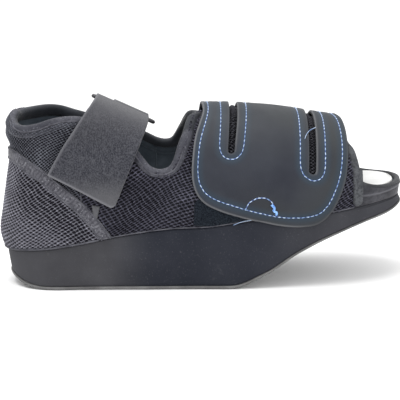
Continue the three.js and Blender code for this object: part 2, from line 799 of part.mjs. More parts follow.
const foldRadius = ringWire / 2 + seatGap + strapThickness / 2;
const foldHeight = 2 * foldRadius + strapThickness;
const corner = ([along, height]) => new THREE.Vector3(placeOf(along), 0, height * collarHeight);
const topLine = corner(strapTop.front).sub(corner(strapTop.rear));
const topUp = new THREE.Vector3(-topLine.z, 0, topLine.x).normalize();
const strapDown = new THREE.Vector3(-topUp.x - strapLean, 0, -topUp.z).normalize();
const baseTop = (across) => corner(strapTop.rear).addScaledVector(topLine, across).addScaledVector(topUp, -foldHeight);

function wallAcross(x, z) {
  const edge = edgeHeight(x);
  const level = Math.min((z - edge) / (upperRoof(x) - edge), strapWallLevel);
  return Math.abs(skinPoint(turnAtPlace(x), 1, level, upperRoof).y);
}

const arch = (depth, full) => (depth >= full ? 1 : (1 - (1 - depth / full) ** archSquareness) ** (1 / archSquareness));

// End of the strap: a straight cut whose front corner is rounded.
const endWidth = corner(strapEnd.rear).distanceTo(corner(strapEnd.front));

function strapEndAt(across) {
  const end = corner(strapEnd.rear).lerp(corner(strapEnd.front), across);
  const intoCorner = Math.max(strapCornerRadius - (1 - across) * endWidth, 0);
  const shortening = strapCornerRadius - Math.sqrt(strapCornerRadius ** 2 - intoCorner ** 2);
  return end.addScaledVector(baseTop(across).sub(end).normalize(), shortening);
}

// Inner face of the strap on the near side, and of the ring's tab on the far side.
function strapBase(down, across) {
  const end = strapEndAt(across);
  const depth = down * end.distanceTo(baseTop(across));
  const point = baseTop(across).lerp(end, down);
  point.x -= strapBow * 4 * down * (1 - down) * (1 - across);
  const settled = smoothStep(strapSettleStart, strapSettleEnd, depth);
  const rest = strapRest + seatGap + bindingThickness * (1 - across);
  const standOff = strapStandOff * (1 - settled) + rest * settled;
  point.y = -(wallAcross(point.x, point.z) + standOff) * arch(depth, strapArchDepth);
  return point;
}

const ringReach = ringDepth * Math.cos(THREE.MathUtils.degToRad(ringTilt));
const ringDrop = ringDepth * Math.sin(THREE.MathUtils.degToRad(ringTilt));

function tabBase(down, share) {
  const depth = down * tabLength;
  const across = tabStart + (1 - tabStart) * share;
  const point = baseTop(across).addScaledVector(strapDown, depth);
  point.z -= ringDrop;
  const wall = wallAcross(point.x, point.z) + tabStandOff;
  point.y = ringReach + (wall - ringReach) * arch(depth, tabArchDepth);
  return point;
}

function baseNormal(base, down, across, side) {
  const step = 0.01;
  const [a, b] = [Math.max(down - step, 0), Math.max(across - step, 0)];
  const [c, d] = [Math.min(down + step, 1), Math.min(across + step, 1)];
  const lengthwise = base(c, across).sub(base(a, across));
  const crosswise = base(down, d).sub(base(down, b));
  const normal = side < 0 ? lengthwise.cross(crosswise) : crosswise.cross(lengthwise);
  return normal.normalize();
}

// A band that runs up from its end, round a bar and back down over itself.
function foldedBand(base, side, length, acrossPlaces, innerSteps, foldSteps, outerSteps) {
  const rows = [];
  for (const across of acrossPlaces) {
    const row = [];
    const layerAt = (down, lift) => {
      const normal = down === 0 ? topUp.clone() : baseNormal(base, down, across, side);
      row.push({ point: base(down, across).addScaledVector(normal, lift), normal });
    };
    const liftOf = (down) => {
      const settled = Math.exp(-(((down * length) / foldSettle) ** 2));
      const flat = 1.5 * strapThickness + strapLayerGap;
      return flat + (2 * foldRadius + strapThickness / 2 - flat) * settled;
    };
    for (let k = innerSteps; k > 0; k -= 1) layerAt((k / innerSteps) ** 1.5, strapThickness / 2);
    const axis = base(0, across).addScaledVector(topUp, strapThickness / 2 + foldRadius);
    for (let k = 0; k <= foldSteps; k += 1) {
      const angle = (Math.PI * k) / foldSteps;
      const outward = topUp.clone().multiplyScalar(-Math.cos(angle));
      outward.y -= side * Math.sin(angle);
      row.push({ point: axis.clone().addScaledVector(outward, foldRadius), normal: outward });
    }
    for (let k = 1; k <= outerSteps; k += 1) {
      const down = (k / outerSteps) ** 1.5;
      layerAt(down, liftOf(down));
    }
    for (let k = 0; k < innerSteps; k += 1) row[k].normal = row[k].normal.clone().negate();
    rows.push(row);
  }
  return sheet(rows, strapThickness);
}

// Closed sheet of even thickness on a grid of points with their normals.
function sheet(rows, thickness) {
  const [lines, size] = [rows.length, rows[0].length];
  const face = (sign) => rows.flatMap((row) => row.map(({ point, normal }) => (
    point.clone().addScaledVector(normal, (sign * thickness) / 2)
  )));
  const points = [...face(1), ...face(-1)];
  const under = lines * size;
  const faces = [];
  const quad = (a, b, c, d) => faces.push(a, b, c, a, c, d);
  for (let j = 0; j < lines - 1; j += 1) {
    for (let k = 0; k < size - 1; k += 1) {
      const [a, b, c, d] = [j * size + k, j * size + k + 1, (j + 1) * size + k + 1, (j + 1) * size + k];
      quad(a, b, c, d);
      quad(a + under, d + under, c + under, b + under);
    }
  }
  for (let k = 0; k < size - 1; k += 1) {
    const far = (lines - 1) * size + k;
    quad(k, k + under, k + 1 + under, k + 1);
    quad(far, far + 1, far + 1 + under, far + under);
  }
  for (let j = 0; j < lines - 1; j += 1) {
    const [a, b] = [j * size, (j + 1) * size];
    quad(a, b, b + under, a + under);
    quad(a + size - 1, a + size - 1 + under, b + size - 1 + under, b + size - 1);
  }
  return geometryFrom(points, faces);
}

function makeRing() {
  const side = topLine.clone().normalize();
  const over = new THREE.Vector3(0, ringReach, -ringDrop);
  const centreHeight = strapThickness / 2 + foldRadius;
  const [rearPlay, frontPlay] = [ringRearRoom + ringWire / 2, ringFrontRoom + ringWire / 2];
  const start = baseTop(0).addScaledVector(topUp, centreHeight).addScaledVector(side, -rearPlay);
  const long = side.clone().multiplyScalar(topLine.length() + rearPlay + frontPlay);
  const corners = [start, start.clone().add(long), start.clone().add(long).add(over), start.clone().add(over)];
  const normal = new THREE.Vector3().crossVectors(long, over).normalize();
  const seats = corners.flatMap((place, k) => {
    const before = corners[(k + 3) % 4].clone().sub(place).normalize();
    const after = corners[(k + 1) % 4].clone().sub(place).normalize();
    const centre = place.clone().addScaledVector(before, ringCornerRadius).addScaledVector(after, ringCornerRadius);
    const arc = [0, 1, 2, 3].map((step) => {
      const angle = (Math.PI / 2) * (step / 3);
      return centre.clone()
        .addScaledVector(after, -ringCornerRadius * Math.cos(angle))
        .addScaledVector(before, -ringCornerRadius * Math.sin(angle));
    });
    const next = corners[(k + 1) % 4];
    return [...arc, place.clone().lerp(next, 0.5)].map((point) => ({ point, normal, band: 1 }));
  });
  return geometryOf(outwardSolid(rollAlong(seats, ringWire, ringWire, 0, ringSteps, ringSides)));
}

function makeStrap() {
  const length = corner(strapTop.rear).distanceTo(corner(strapEnd.rear));
  return geometryOf(outwardSolid(foldedBand(strapBase, -1, length, strapAcross, 8, 5, 10)));
}

function makeRingTab() {
  return geometryOf(outwardSolid(foldedBand(tabBase, 1, tabLength, tabAcross, 6, 5, 8)));
}

// Scene graph
const colours = {
  mesh: 0x2b2b33,
  panel: 0x33333b,
  lining: 0x4c4d55,
  foam: 0x33343c,
  rubber: 0x6a6b6b,
  insole: 0xe6e6e3,
  flap: 0x3f444a,
  felt: 0x55565c,
  ring: 0x2a2b2e,
};

const group = new THREE.Group();

function addPiece(name, geometry, colour, roughness, metalness = 0) {
  const material = new THREE.MeshStandardMaterial({ color: colour, roughness, metalness });
  const mesh = new THREE.Mesh(geometry, material);
  mesh.name = name;
  group.add(mesh);
}

addPiece('outsole', makeOutsole(), colours.rubber, 0.85);
addPiece('midsole', makeMidsole(), colours.foam, 0.8);
addPiece('insole', makeInsole(), colours.insole, 0.9);
addPiece('upper', makeUpper(), colours.mesh, 0.95);
addPiece('collar_lining', geometryOf(collarRoll(0)), colours.lining, 0.7);
addPiece('toe_binding', makeToeBinding(), colours.lining, 0.7);
addPiece('heel_counter', makeCounter(), colours.panel, 0.95);
addPiece('counter_binding', makeCounterBinding(), colours.panel, 0.9);
addPiece('instep_flap', makeFlap(), colours.flap, 0.6);
addPiece('ankle_strap', makeStrap(), colours.felt, 0.95);
addPiece('strap_ring', makeRing(), colours.ring, 0.4, 0.8);
addPiece('ring_tab', makeRingTab(), colours.felt, 0.95);

export default group;
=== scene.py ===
"""Post operative shoe: the fine surface and finish of each piece, worked out from one last.

Lengths are in millimetres here and become metres when a mesh is made. +X to the toe, -Y the side where both
straps close, +Z up.
"""

import math

import bmesh
import bpy
import numpy as np
from mathutils import Matrix, Vector
from mathutils.geometry import delaunay_2d_cdt


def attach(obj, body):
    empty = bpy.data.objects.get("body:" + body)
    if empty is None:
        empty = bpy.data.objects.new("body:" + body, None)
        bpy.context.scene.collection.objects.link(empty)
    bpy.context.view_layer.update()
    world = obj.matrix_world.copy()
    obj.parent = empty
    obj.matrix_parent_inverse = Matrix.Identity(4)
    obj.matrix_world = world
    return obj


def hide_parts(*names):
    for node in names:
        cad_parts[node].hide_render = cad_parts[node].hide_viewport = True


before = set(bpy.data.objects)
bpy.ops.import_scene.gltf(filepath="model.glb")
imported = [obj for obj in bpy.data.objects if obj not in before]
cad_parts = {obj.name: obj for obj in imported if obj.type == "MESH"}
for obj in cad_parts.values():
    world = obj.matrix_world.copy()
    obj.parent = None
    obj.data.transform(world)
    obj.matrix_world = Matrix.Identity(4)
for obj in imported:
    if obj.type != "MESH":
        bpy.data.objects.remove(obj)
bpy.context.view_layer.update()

METRE = 0.001
TINY = 1e-9
NEAR, FAR = -1, 1

# Camera: where the photograph was taken from, in its own frame of 400 by 400 pixels
FRAME_PIXELS = 400
SENSOR_WIDTH = 36
CAMERA_DISTANCE = 900
CAMERA_TARGET = (0, 0, 65)
CAMERA_AZIMUTH = -2.5
CAMERA_ELEVATION = 10
CAMERA_ROLL = -1
PIXELS_PER_MM = 1.38
TARGET_ABOVE_MIDDLE = 13.5

# Last: overall sizes
LAST_LENGTH = 283
BALL_WIDTH = 99
HEEL_ROUND_LENGTH = 40
TOE_ROUND_LENGTH = 43
TOE_EDGE_HEIGHT = 59.6
TOE_UNDERSIDE_HEIGHT = 53.5
INSTEP_HEIGHT = 121.3
COLLAR_HEIGHT = 126
COLLAR_RISE = 99.5
HEEL_SWELL = 3.5
HEEL_SQUARENESS = 2
TOE_SQUARENESS = 2.3
HEEL_TIP = -LAST_LENGTH / 2 + 1.5
VAMP_START = 0.28
VAMP_END = 0.46

# Sole
OUTSOLE_THICKNESS = 2.3
OUTSOLE_TOE_SHARE = 0.6
OUTSOLE_THIN_START = 0.55
OUTSOLE_LIP = 0.5
SOLE_FLARE = 2.2
SOLE_ROUND = 1.6
TOP_INSET = 0.5
GROOVE_DEPTH = 1
GROOVE_WIDTH = 3.2
GROOVE_PITCH = 13
GROOVE_COUNT = 9
GROOVE_START = 34
GROOVE_MARGIN = 5
INSOLE_THICKNESS = 6
INSOLE_CHAMFER = 1.4
PLATEAU_HEIGHT = 4.2
PLATEAU_START = 0.35
PLATEAU_END = 0.9
SOLE_WALL_ROOM = 0.4

# Upper and what is laid on it
WALL_THICKNESS = 2.8
SEAT_GAP = 0.3
BINDING_THICKNESS = 1.9
BINDING_WIDTH = 8.5
COLLAR_ROLL = (6.8, 9)
TOE_ROLL = (5.2, 6.4)
TOE_RIM_HEIGHT = 11
TOE_BAND_THICKNESS = 1.5

# Instep flap
FLAP_HEIGHT = 126.4
FLAP_THICKNESS = 2.4
FLAP_STAND_OFF = 0.5

# Ankle strap, ring and tab
STRAP_THICKNESS = 1.5
STRAP_STAND_OFF = 3.4
STRAP_LAYER_GAP = 0.4
STRAP_ARCH_DEPTH = 18
ARCH_SQUARENESS = 3
RING_WIRE = 2.6
RING_DEPTH = 16
RING_TILT = 5
RING_REAR_ROOM = 0.6
RING_FRONT_ROOM = 3.4
RING_CORNER_RADIUS = 2.5
TAB_STAND_OFF = 3.6
TAB_ARCH_DEPTH = 14
TAB_LENGTH = 44
TAB_START = 0.32
STRAP_SETTLE_START = 32
STRAP_SETTLE_END = 50
STRAP_REST = 0.5
STRAP_BOW = 2.4
STRAP_LEAN = 0.12
STRAP_WALL_LEVEL = 0.8
STRAP_CORNER_RADIUS = 4
FOLD_SETTLE = 8


# Tables and smooth curves

def table(columns, rows):
    """Named columns of a table with a row for each section."""
    values = np.array(rows, float)
    return {name: values[:, k] for k, name in enumerate(columns)}


def through(rows, key, column):
    """Smooth curve through one column of a table, with no overshoot between its rows."""
    at, value = rows[key], rows[column]
    rate = np.diff(value) / np.diff(at)
    slope = np.empty_like(at)
    slope[0], slope[-1] = rate[0], rate[-1]
    for k in range(1, len(at) - 1):
        product = rate[k - 1] * rate[k]
        slope[k] = 0 if product <= 0 else 2 * product / (rate[k - 1] + rate[k])

    def curve(place):
        x = np.clip(place, at[0], at[-1])
        k = np.clip(np.searchsorted(at, x, side="right") - 1, 0, len(at) - 2)
        span = at[k + 1] - at[k]
        u = (x - at[k]) / span
        bend = span * (slope[k] * u * (1 - u) ** 2 - slope[k + 1] * u**2 * (1 - u))
        return value[k] + (value[k + 1] - value[k]) * u * u * (3 - 2 * u) + bend

    return curve


def smooth_step(low, high, x):
    u = np.clip((np.asarray(x, float) - low) / (high - low), 0, 1)
    return u * u * (3 - 2 * u)


def bell(distance, width):
    """1 at no distance and nearly 0 past two widths."""
    return np.exp(-((distance / width) ** 2))


def unit(vectors):
    return vectors / np.maximum(np.linalg.norm(vectors, axis=-1, keepdims=True), TINY)


def square_to(axes, vectors):
    """Unit vectors at right angles to unit axes, as near as can be to the given ones."""
    return unit(vectors - axes * (vectors * axes).sum(-1, keepdims=True))


def way_along(points):
    """Distance from a polyline's start to each of its points."""
    return np.concatenate([[0], np.cumsum(np.linalg.norm(np.diff(points, axis=0), axis=1))])


def heading(line, closed=True):
    """Unit direction of a polyline at each of its points."""
    return unit(np.roll(line, -1, axis=0) - np.roll(line, 1, axis=0) if closed else np.gradient(line, axis=0))


# Shares: along of the last's length, width of half the ball width, edge of the toe's edge height, under of
# its underside height, roof of the instep height, cover of the flap height, flare of the sole's flare.
SECTIONS = table(
    ("along", "width", "edge", "under", "roof", "cover", "square", "flare"),
    (
        (0.0, 0.773, 0.445, 0.15, 1.22, 1.1, 6.0, -1.0),
        (0.025, 0.773, 0.457, 0.08, 1.22, 1.1, 6.0, -0.95),
        (0.058, 0.773, 0.474, 0.022, 1.22, 1.1, 6.0, -0.88),
        (0.1, 0.773, 0.493, 0.0, 1.22, 1.1, 6.0, -0.8),
        (0.184, 0.775, 0.547, 0.0, 1.22, 1.1, 6.0, -0.5),
        (0.269, 0.808, 0.624, 0.0, 1.18, 1.06, 5.0, -0.4),
        (0.346, 0.852, 0.685, 0.0, 1.06, 1.02, 3.8, -0.4),
        (0.424, 0.889, 0.725, 0.0, 0.985, 1.0, 2.9, -0.4),
        (0.495, 0.929, 0.738, 0.0, 0.972, 1.0, 2.5, -0.4),
        (0.558, 0.968, 0.775, 0.0, 1.0, 1.0, 2.4, -0.4),
        (0.643, 0.99, 0.829, 0.168, 0.989, 0.984, 2.4, -0.3),
        (0.728, 1.0, 0.859, 0.458, 0.958, 0.957, 2.4, -0.2),
        (0.813, 0.97, 0.889, 0.673, 0.918, 0.926, 2.4, 0.0),
        (0.894, 0.895, 0.948, 0.834, 0.87, 0.9, 2.4, 0.3),
        (0.954, 0.84, 0.983, 0.918, 0.83, 0.88, 2.4, 0.6),
        (1.0, 0.8, 1.0, 1.0, 0.8, 0.87, 2.4, 0.7),
    ),
)

# Swell of the wall outwards: up as a share of the collar's rise, the rest as shares of the heel's swell.
SWELLS = table(
    ("up", "heel", "quarter", "vamp"),
    (
        (0.0, 0.09, 0.0, 0.0),
        (0.05, 0.63, 0.26, 0.2),
        (0.125, 1.0, 0.5, 0.4),
        (0.27, 0.37, 0.42, 0.45),
        (0.5, -0.74, 0.0, 0.3),
        (0.66, -1.45, -0.45, 0.0),
        (0.73, -1.5, -0.5, 0.0),
        (0.82, -0.72, -0.2, 0.0),
        (0.88, -0.95, -0.32, 0.0),
        (0.94, -2.1, -0.62, 0.0),
        (1.0, -3.4, -0.85, 0.0),
        (1.4, -4.0, -1.0, 0.0),
    ),
)

width_share = through(SECTIONS, "along", "width")
edge_share = through(SECTIONS, "along", "edge")
under_share = through(SECTIONS, "along", "under")
roof_share = through(SECTIONS, "along", "roof")
cover_share = through(SECTIONS, "along", "cover")
squareness = through(SECTIONS, "along", "square")
flare_share = through(SECTIONS, "along", "flare")
heel_swell_share = through(SWELLS, "up", "heel")
quarter_swell_share = through(SWELLS, "up", "quarter")
vamp_swell_share = through(SWELLS, "up", "vamp")


def place_of(share):
    return HEEL_TIP + np.asarray(share, float) * LAST_LENGTH


def share_of(x):
    return (np.asarray(x, float) - HEEL_TIP) / LAST_LENGTH


def edge_height(x):
    return edge_share(share_of(x)) * TOE_EDGE_HEIGHT


def underside_height(x):
    return under_share(share_of(x)) * TOE_UNDERSIDE_HEIGHT


def upper_roof(x):
    return roof_share(share_of(x)) * INSTEP_HEIGHT


def flap_roof(x):
    return cover_share(share_of(x)) * FLAP_HEIGHT - FLAP_STAND_OFF - FLAP_THICKNESS


def half_width(x):
    """Half width of the plan outline, round at the heel and blunt at the toe."""
    heel = np.clip((HEEL_TIP + HEEL_ROUND_LENGTH - x) / HEEL_ROUND_LENGTH, 0, 1)
    toe = np.clip((x - place_of(1) + TOE_ROUND_LENGTH) / TOE_ROUND_LENGTH, 0, 1)
    heel_round = (1 - heel**HEEL_SQUARENESS) ** (1 / HEEL_SQUARENESS)
    toe_round = (1 - toe**TOE_SQUARENESS) ** (1 / TOE_SQUARENESS)
    return (BALL_WIDTH / 2) * width_share(share_of(x)) * heel_round * toe_round


def place_at_turn(turn):
    return HEEL_TIP + (LAST_LENGTH * (1 - np.cos(np.pi * np.asarray(turn, float)))) / 2


def turn_at_place(x):
    return np.arccos(np.clip(1 - 2 * share_of(x), -1, 1)) / np.pi


def outline_normal(turn):
    """Outward direction of the outline on the far side, as x and y."""
    turn = np.asarray(turn, float)
    step = 0.002
    before, after = np.maximum(turn - step, 0), np.minimum(turn + step, 1)
    along = place_at_turn(after) - place_at_turn(before)
    across = half_width(place_at_turn(after)) - half_width(place_at_turn(before))
    size = np.hypot(along, across)
    tip = (turn <= 0) | (turn >= 1)
    normal_x = np.where(turn <= 0, -1.0, np.where(turn >= 1, 1.0, -across / size))
    return normal_x, np.where(tip, 0.0, along / size)


def swell_at(turn, height):
    up = np.maximum(height, 0) / COLLAR_RISE
    normal_x = outline_normal(turn)[0]
    heel_part = np.where(normal_x < 0, normal_x**2, 0)
    vamp_part = smooth_step(VAMP_START, VAMP_END, share_of(place_at_turn(turn)))
    side = quarter_swell_share(up) * (1 - vamp_part) + vamp_swell_share(up) * vamp_part
    return HEEL_SWELL * (heel_swell_share(up) * heel_part + side * (1 - heel_part))


def skin_point(turn, level, roof):
    """Point of the far side's skin, at a turn of the outline and a level from 0, the edge, to 1, the roof."""
    turn, level = np.broadcast_arrays(np.asarray(turn, float), np.asarray(level, float))
    x = place_at_turn(turn)
    edge = edge_height(x)
    z = edge + level * (roof(x) - edge)
    power = squareness(share_of(x))
    narrowing = np.where(level > 0, np.maximum(1 - np.maximum(level, 0) ** power, 0) ** (1 / power), 1)
    normal_x, normal_y = outline_normal(turn)
    swell = swell_at(turn, z - edge)
    return np.stack([x + normal_x * swell, narrowing * (half_width(x) + normal_y * swell), z], -1)


def level_at_climb(climb):
    return np.where(climb > 0, climb * (2 - climb), climb)


def climb_at_level(level):
    return np.where(level > 0, 1 - np.sqrt(np.maximum(1 - level, 0)), level)


class Skin:
    """A skin of the last charted by the way along the outline and the girth up from the edge line."""

    TURNS = 700
    RISES = 260
    LOWEST = -0.3

    def __init__(self, roof):
        self.roof = roof
        self.turns = np.linspace(0, 1, self.TURNS)
        self.climbs = np.linspace(self.LOWEST, 1, 4 * self.RISES)
        fine = skin_point(self.turns[:, None], level_at_climb(self.climbs)[None, :], roof)
        steps = np.linalg.norm(np.diff(fine, axis=1), axis=2)
        girth = np.concatenate([np.zeros((self.TURNS, 1)), np.cumsum(steps, axis=1)], axis=1)
        zero = np.array([np.interp(0, self.climbs, row) for row in girth])
        self.girth = girth - zero[:, None]
        self.full = self.girth[:, -1]
        self.shares = np.linspace(self.LOWEST, 1, self.RISES)
        self.points = np.empty((self.TURNS, self.RISES, 3))
        for i in range(self.TURNS):
            wanted = self.shares * self.full[i]
            for axis in range(3):
                self.points[i, :, axis] = np.interp(wanted, self.girth[i], fine[i, :, axis])
        mirror = np.array([1, -1, 1])
        padded = np.concatenate([self.points[1:2] * mirror, self.points, self.points[-2:-1] * mirror])
        padded = np.concatenate([padded, padded[:, -2:-1] * mirror], axis=1)
        forward = padded[2:, :-1] - padded[:-2, :-1]
        rise = np.empty_like(self.points)
        rise[:, 1:] = padded[1:-1, 2:] - padded[1:-1, :-2]
        rise[:, 0] = rise[:, 1]
        self.normals = unit(np.cross(rise, forward))
        outline = np.stack([place_at_turn(self.turns), half_width(place_at_turn(self.turns))], -1)
        self.way = way_along(outline)

    def _mixed(self, grid, column, row):
        i = np.clip(np.floor(column).astype(int), 0, grid.shape[0] - 2)
        j = np.clip(np.floor(row).astype(int), 0, grid.shape[1] - 2)
        u, v = (column - i)[..., None], (row - j)[..., None]
        low = grid[i, j] * (1 - u) + grid[i + 1, j] * u
        high = grid[i, j + 1] * (1 - u) + grid[i + 1, j + 1] * u
        return low * (1 - v) + high * v

    def at(self, way, up, side, lift=0.0):
        """Points at a way along the outline and a girth up from the edge, lifted off the skin."""
        way, up, side, lift = np.broadcast_arrays(*(np.asarray(v, float) for v in (way, up, side, lift)))
        column = np.interp(way, self.way, np.arange(self.TURNS))
        full = np.interp(way, self.way, self.full)
        row = (up / full - self.LOWEST) / (1 - self.LOWEST) * (self.RISES - 1)
        row = np.clip(row, 0, self.RISES - 1)
        flip = np.stack([np.ones_like(side), side, np.ones_like(side)], -1)
        normal = unit(self._mixed(self.normals, column, row))
        return (self._mixed(self.points, column, row) + normal * lift[..., None]) * flip

    def full_at(self, way):
        return np.interp(way, self.way, self.full)

    def way_at(self, x):
        return np.interp(turn_at_place(x), self.turns, self.way)

    def up_at(self, x, z):
        """Girth up from the edge of the skin's point at x and height z."""
        x, z = np.broadcast_arrays(np.asarray(x, float), np.asarray(z, float))
        edge = edge_height(x)
        level = np.clip((z - edge) / (self.roof(x) - edge), self.LOWEST, 1)
        row = (climb_at_level(level) - self.LOWEST) / (1 - self.LOWEST) * (len(self.climbs) - 1)
        column = turn_at_place(x) * (self.TURNS - 1)
        return self._mixed(self.girth[..., None], column, row)[..., 0]


# Mesh helpers

POINTS_AT_ONCE = 2000


def tidy_loop(points, spacing, closed=True):
    """A polyline walked again in even steps of about one spacing."""
    points = np.asarray(points, float)
    if closed:
        points = np.concatenate([points, points[:1]])
    way = way_along(points)
    steps = max(int(round(way[-1] / spacing)), 3)
    wanted = np.linspace(0, way[-1], steps + 1)
    if closed:
        wanted = wanted[:-1]
    return np.stack([np.interp(wanted, way, points[:, k]) for k in range(points.shape[1])], -1)


def curved_loop(points, closed=True, steps=12):
    """Smooth curve through points, as a fine polyline. Its bends follow the points' own spacing."""
    points = np.asarray(points, float)
    count = len(points)
    spans = count if closed else count - 1
    index = np.arange(-1, count + 2)
    index = index % count if closed else np.clip(index, 0, count - 1)
    padded = points[index]
    if not closed:
        padded[0] = 2 * points[0] - points[1]
        padded[-2:] = 2 * points[-1] - points[-2]
    pieces = []
    for k in range(spans):
        a, b, c, d = padded[k : k + 4]
        gaps = [max(np.linalg.norm(q - p), TINY) ** 0.5 for p, q in ((a, b), (b, c), (c, d))]
        u = np.linspace(0, 1, steps, endpoint=False)[:, None]
        start = gaps[1] * ((b - a) / gaps[0] - (c - a) / (gaps[0] + gaps[1]) + (c - b) / gaps[1])
        end = gaps[1] * ((c - b) / gaps[1] - (d - b) / (gaps[1] + gaps[2]) + (d - c) / gaps[2])
        pieces.append(
            b * (2 * u**3 - 3 * u**2 + 1) + c * (3 * u**2 - 2 * u**3)
            + start * (u**3 - 2 * u**2 + u) + end * (u**3 - u**2)
        )
    if not closed:
        pieces.append(points[-1:])
    return np.concatenate(pieces)


def inside(points, loop):
    """Which points lie inside a closed polyline."""
    x, y = points[:, 0][:, None], points[:, 1][:, None]
    ax, ay = loop[:, 0][None], loop[:, 1][None]
    bx, by = np.roll(loop[:, 0], -1)[None], np.roll(loop[:, 1], -1)[None]
    rise = np.where(by == ay, 1e-12, by - ay)
    crosses = ((ay > y) != (by > y)) & (x < (bx - ax) * (y - ay) / rise + ax)
    return crosses.sum(axis=1) % 2 == 1


def distance_to(points, loop):
    """Distance of each point to a closed polyline."""
    span = np.roll(loop, -1, axis=0) - loop
    best = np.full(len(points), np.inf)
    for first in range(0, len(points), POINTS_AT_ONCE):
        chunk = points[first : first + POINTS_AT_ONCE, None] - loop
        share = (chunk * span).sum(-1) / np.maximum((span**2).sum(-1), TINY**2)
        gap = chunk - np.clip(share, 0, 1)[..., None] * span
        best[first : first + POINTS_AT_ONCE] = np.sqrt((gap**2).sum(-1)).min(axis=1)
    return best


def gap_to(points, loops):
    """Distance of each point to the nearest of several closed polylines."""
    return np.min([distance_to(points, loop) for loop in loops], axis=0)


def offset_loop(loop, distance):
    """A closed polyline moved inwards by a distance, or outwards by a negative one."""
    ahead = heading(loop)
    sideways = np.stack([-ahead[:, 1], ahead[:, 0]], -1)
    area = (loop[:, 0] * np.roll(loop[:, 1], -1) - np.roll(loop[:, 0], -1) * loop[:, 1]).sum()
    return loop + sideways * distance * np.sign(area)


# Panels: distance between a lattice's rows, and its least distance to the rims, as shares of its spacing.
ROW_SHARE = 0.866
CLEAR_SHARE = 0.55


def chart_panel(outline, holes=(), spacing=3.0, border=1.2, rims=(0.3, 0.9)):
    """Triangles over a flat outline with holes: points, triangles and each point's distance to the border."""
    loops = [tidy_loop(loop, border) for loop in (outline, *holes)]
    rows = list(loops)
    for rim in rims:
        rows.append(tidy_loop(offset_loop(loops[0], rim), border))
        rows.extend(tidy_loop(offset_loop(loop, -rim), border) for loop in loops[1:])
    low, high = loops[0].min(axis=0), loops[0].max(axis=0)
    columns = np.arange(low[0], high[0], spacing)
    lines = np.arange(low[1], high[1], spacing * ROW_SHARE)
    lattice = np.array([[x + (k % 2) * spacing / 2, y] for k, y in enumerate(lines) for x in columns])
    lattice = lattice[inside(lattice, loops[0])]
    for loop in loops[1:]:
        lattice = lattice[~inside(lattice, loop)]
    lattice = lattice[gap_to(lattice, loops) > max(rims) + CLEAR_SHARE * spacing]
    points = np.concatenate([*rows, lattice])
    edges, base = [], 0
    for loop in loops:
        count = len(loop)
        edges.extend((base + k, base + (k + 1) % count) for k in range(count))
        base += count
    found = delaunay_2d_cdt([Vector(p) for p in points], edges, [], 0, 1e-6)
    points = np.array([tuple(p) for p in found[0]])
    triangles = np.array(found[2])
    middle = points[triangles].mean(axis=1)
    keep = inside(middle, loops[0])
    for loop in loops[1:]:
        keep &= ~inside(middle, loop)
    triangles = triangles[keep]
    used = np.unique(triangles)
    renumber = np.zeros(len(points), int)
    renumber[used] = np.arange(len(used))
    points = points[used]
    return points, renumber[triangles], gap_to(points, loops)


def thicken(top, bottom, faces):
    """Closed mesh between a sheet's upper and lower points. The last faces are its edge walls."""
    count, corners = len(top), faces.shape[1]
    edges = np.concatenate([faces[:, [k, (k + 1) % corners]] for k in range(corners)])
    key, opposite = edges[:, 0] * count + edges[:, 1], edges[:, 1] * count + edges[:, 0]
    border = edges[~np.isin(key, opposite)]
    walls = np.column_stack([border[:, 1], border[:, 0], border[:, 0] + count, border[:, 1] + count])
    all_faces = faces.tolist() + (faces[:, ::-1] + count).tolist() + walls.tolist()
    return np.concatenate([top, bottom]), all_faces, len(walls)


def grid_faces(rows, columns, wrap_rows=False, wrap_columns=False):
    """Quads of a grid of points numbered row by row."""
    i = np.arange(rows if wrap_rows else rows - 1)
    j = np.arange(columns if wrap_columns else columns - 1)
    i, j = np.meshgrid(i, j, indexing="ij")
    i, j = i.ravel(), j.ravel()
    i2, j2 = (i + 1) % rows, (j + 1) % columns
    return np.column_stack([i * columns + j, i * columns + j2, i2 * columns + j2, i2 * columns + j])


def placed(name, data):
    """A new object in the scene."""
    thing = bpy.data.objects.new(name, data)
    bpy.context.scene.collection.objects.link(thing)
    return thing


def make_piece(name, points, faces, finishes, replaces=(), chart=None, values=None, wall_count=0):
    """A mesh object from points in millimetres. Values are named numbers for each point, for its finish."""
    mesh = bpy.data.meshes.new(name)
    mesh.from_pydata((np.asarray(points) * METRE).tolist(), [], [list(f) for f in faces])
    if chart is not None:
        layer = mesh.uv_layers.new(name="chart")
        corner = np.zeros(len(mesh.loops), int)
        mesh.loops.foreach_get("vertex_index", corner)
        layer.data.foreach_set("uv", np.asarray(chart, np.float32)[corner].ravel())
    for key, numbers in (values or {}).items():
        attribute = mesh.attributes.new(key, "FLOAT", "POINT")
        attribute.data.foreach_set("value", np.asarray(numbers, np.float32))
    finishes = finishes if isinstance(finishes, (list, tuple)) else [finishes]
    for finish in finishes:
        mesh.materials.append(finish)
    if wall_count and len(finishes) > 1:
        index = np.zeros(len(mesh.polygons), np.int32)
        index[-wall_count:] = 1
        mesh.polygons.foreach_set("material_index", index)
    shaped = bmesh.new()
    shaped.from_mesh(mesh)
    bmesh.ops.remove_doubles(shaped, verts=shaped.verts, dist=1e-7)
    bmesh.ops.recalc_face_normals(shaped, faces=shaped.faces)
    shaped.to_mesh(mesh)
    shaped.free()
    mesh.shade_smooth()
    piece = placed(name, mesh)
    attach(piece, "root")
    if replaces:
        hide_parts(*replaces)
    return piece


def make_sheet(name, top, bottom, faces, finish, replaces=(), chart=None, values=None):
    """A closed sheet between two layers of points. Its chart and values are those of one layer."""
    points, all_faces, walls = thicken(top, bottom, faces)
    chart = None if chart is None else np.tile(chart, (2, 1))
    values = {key: np.tile(numbers, 2) for key, numbers in (values or {}).items()}
    return make_piece(name, points, all_faces, finish, replaces, chart, values, walls)


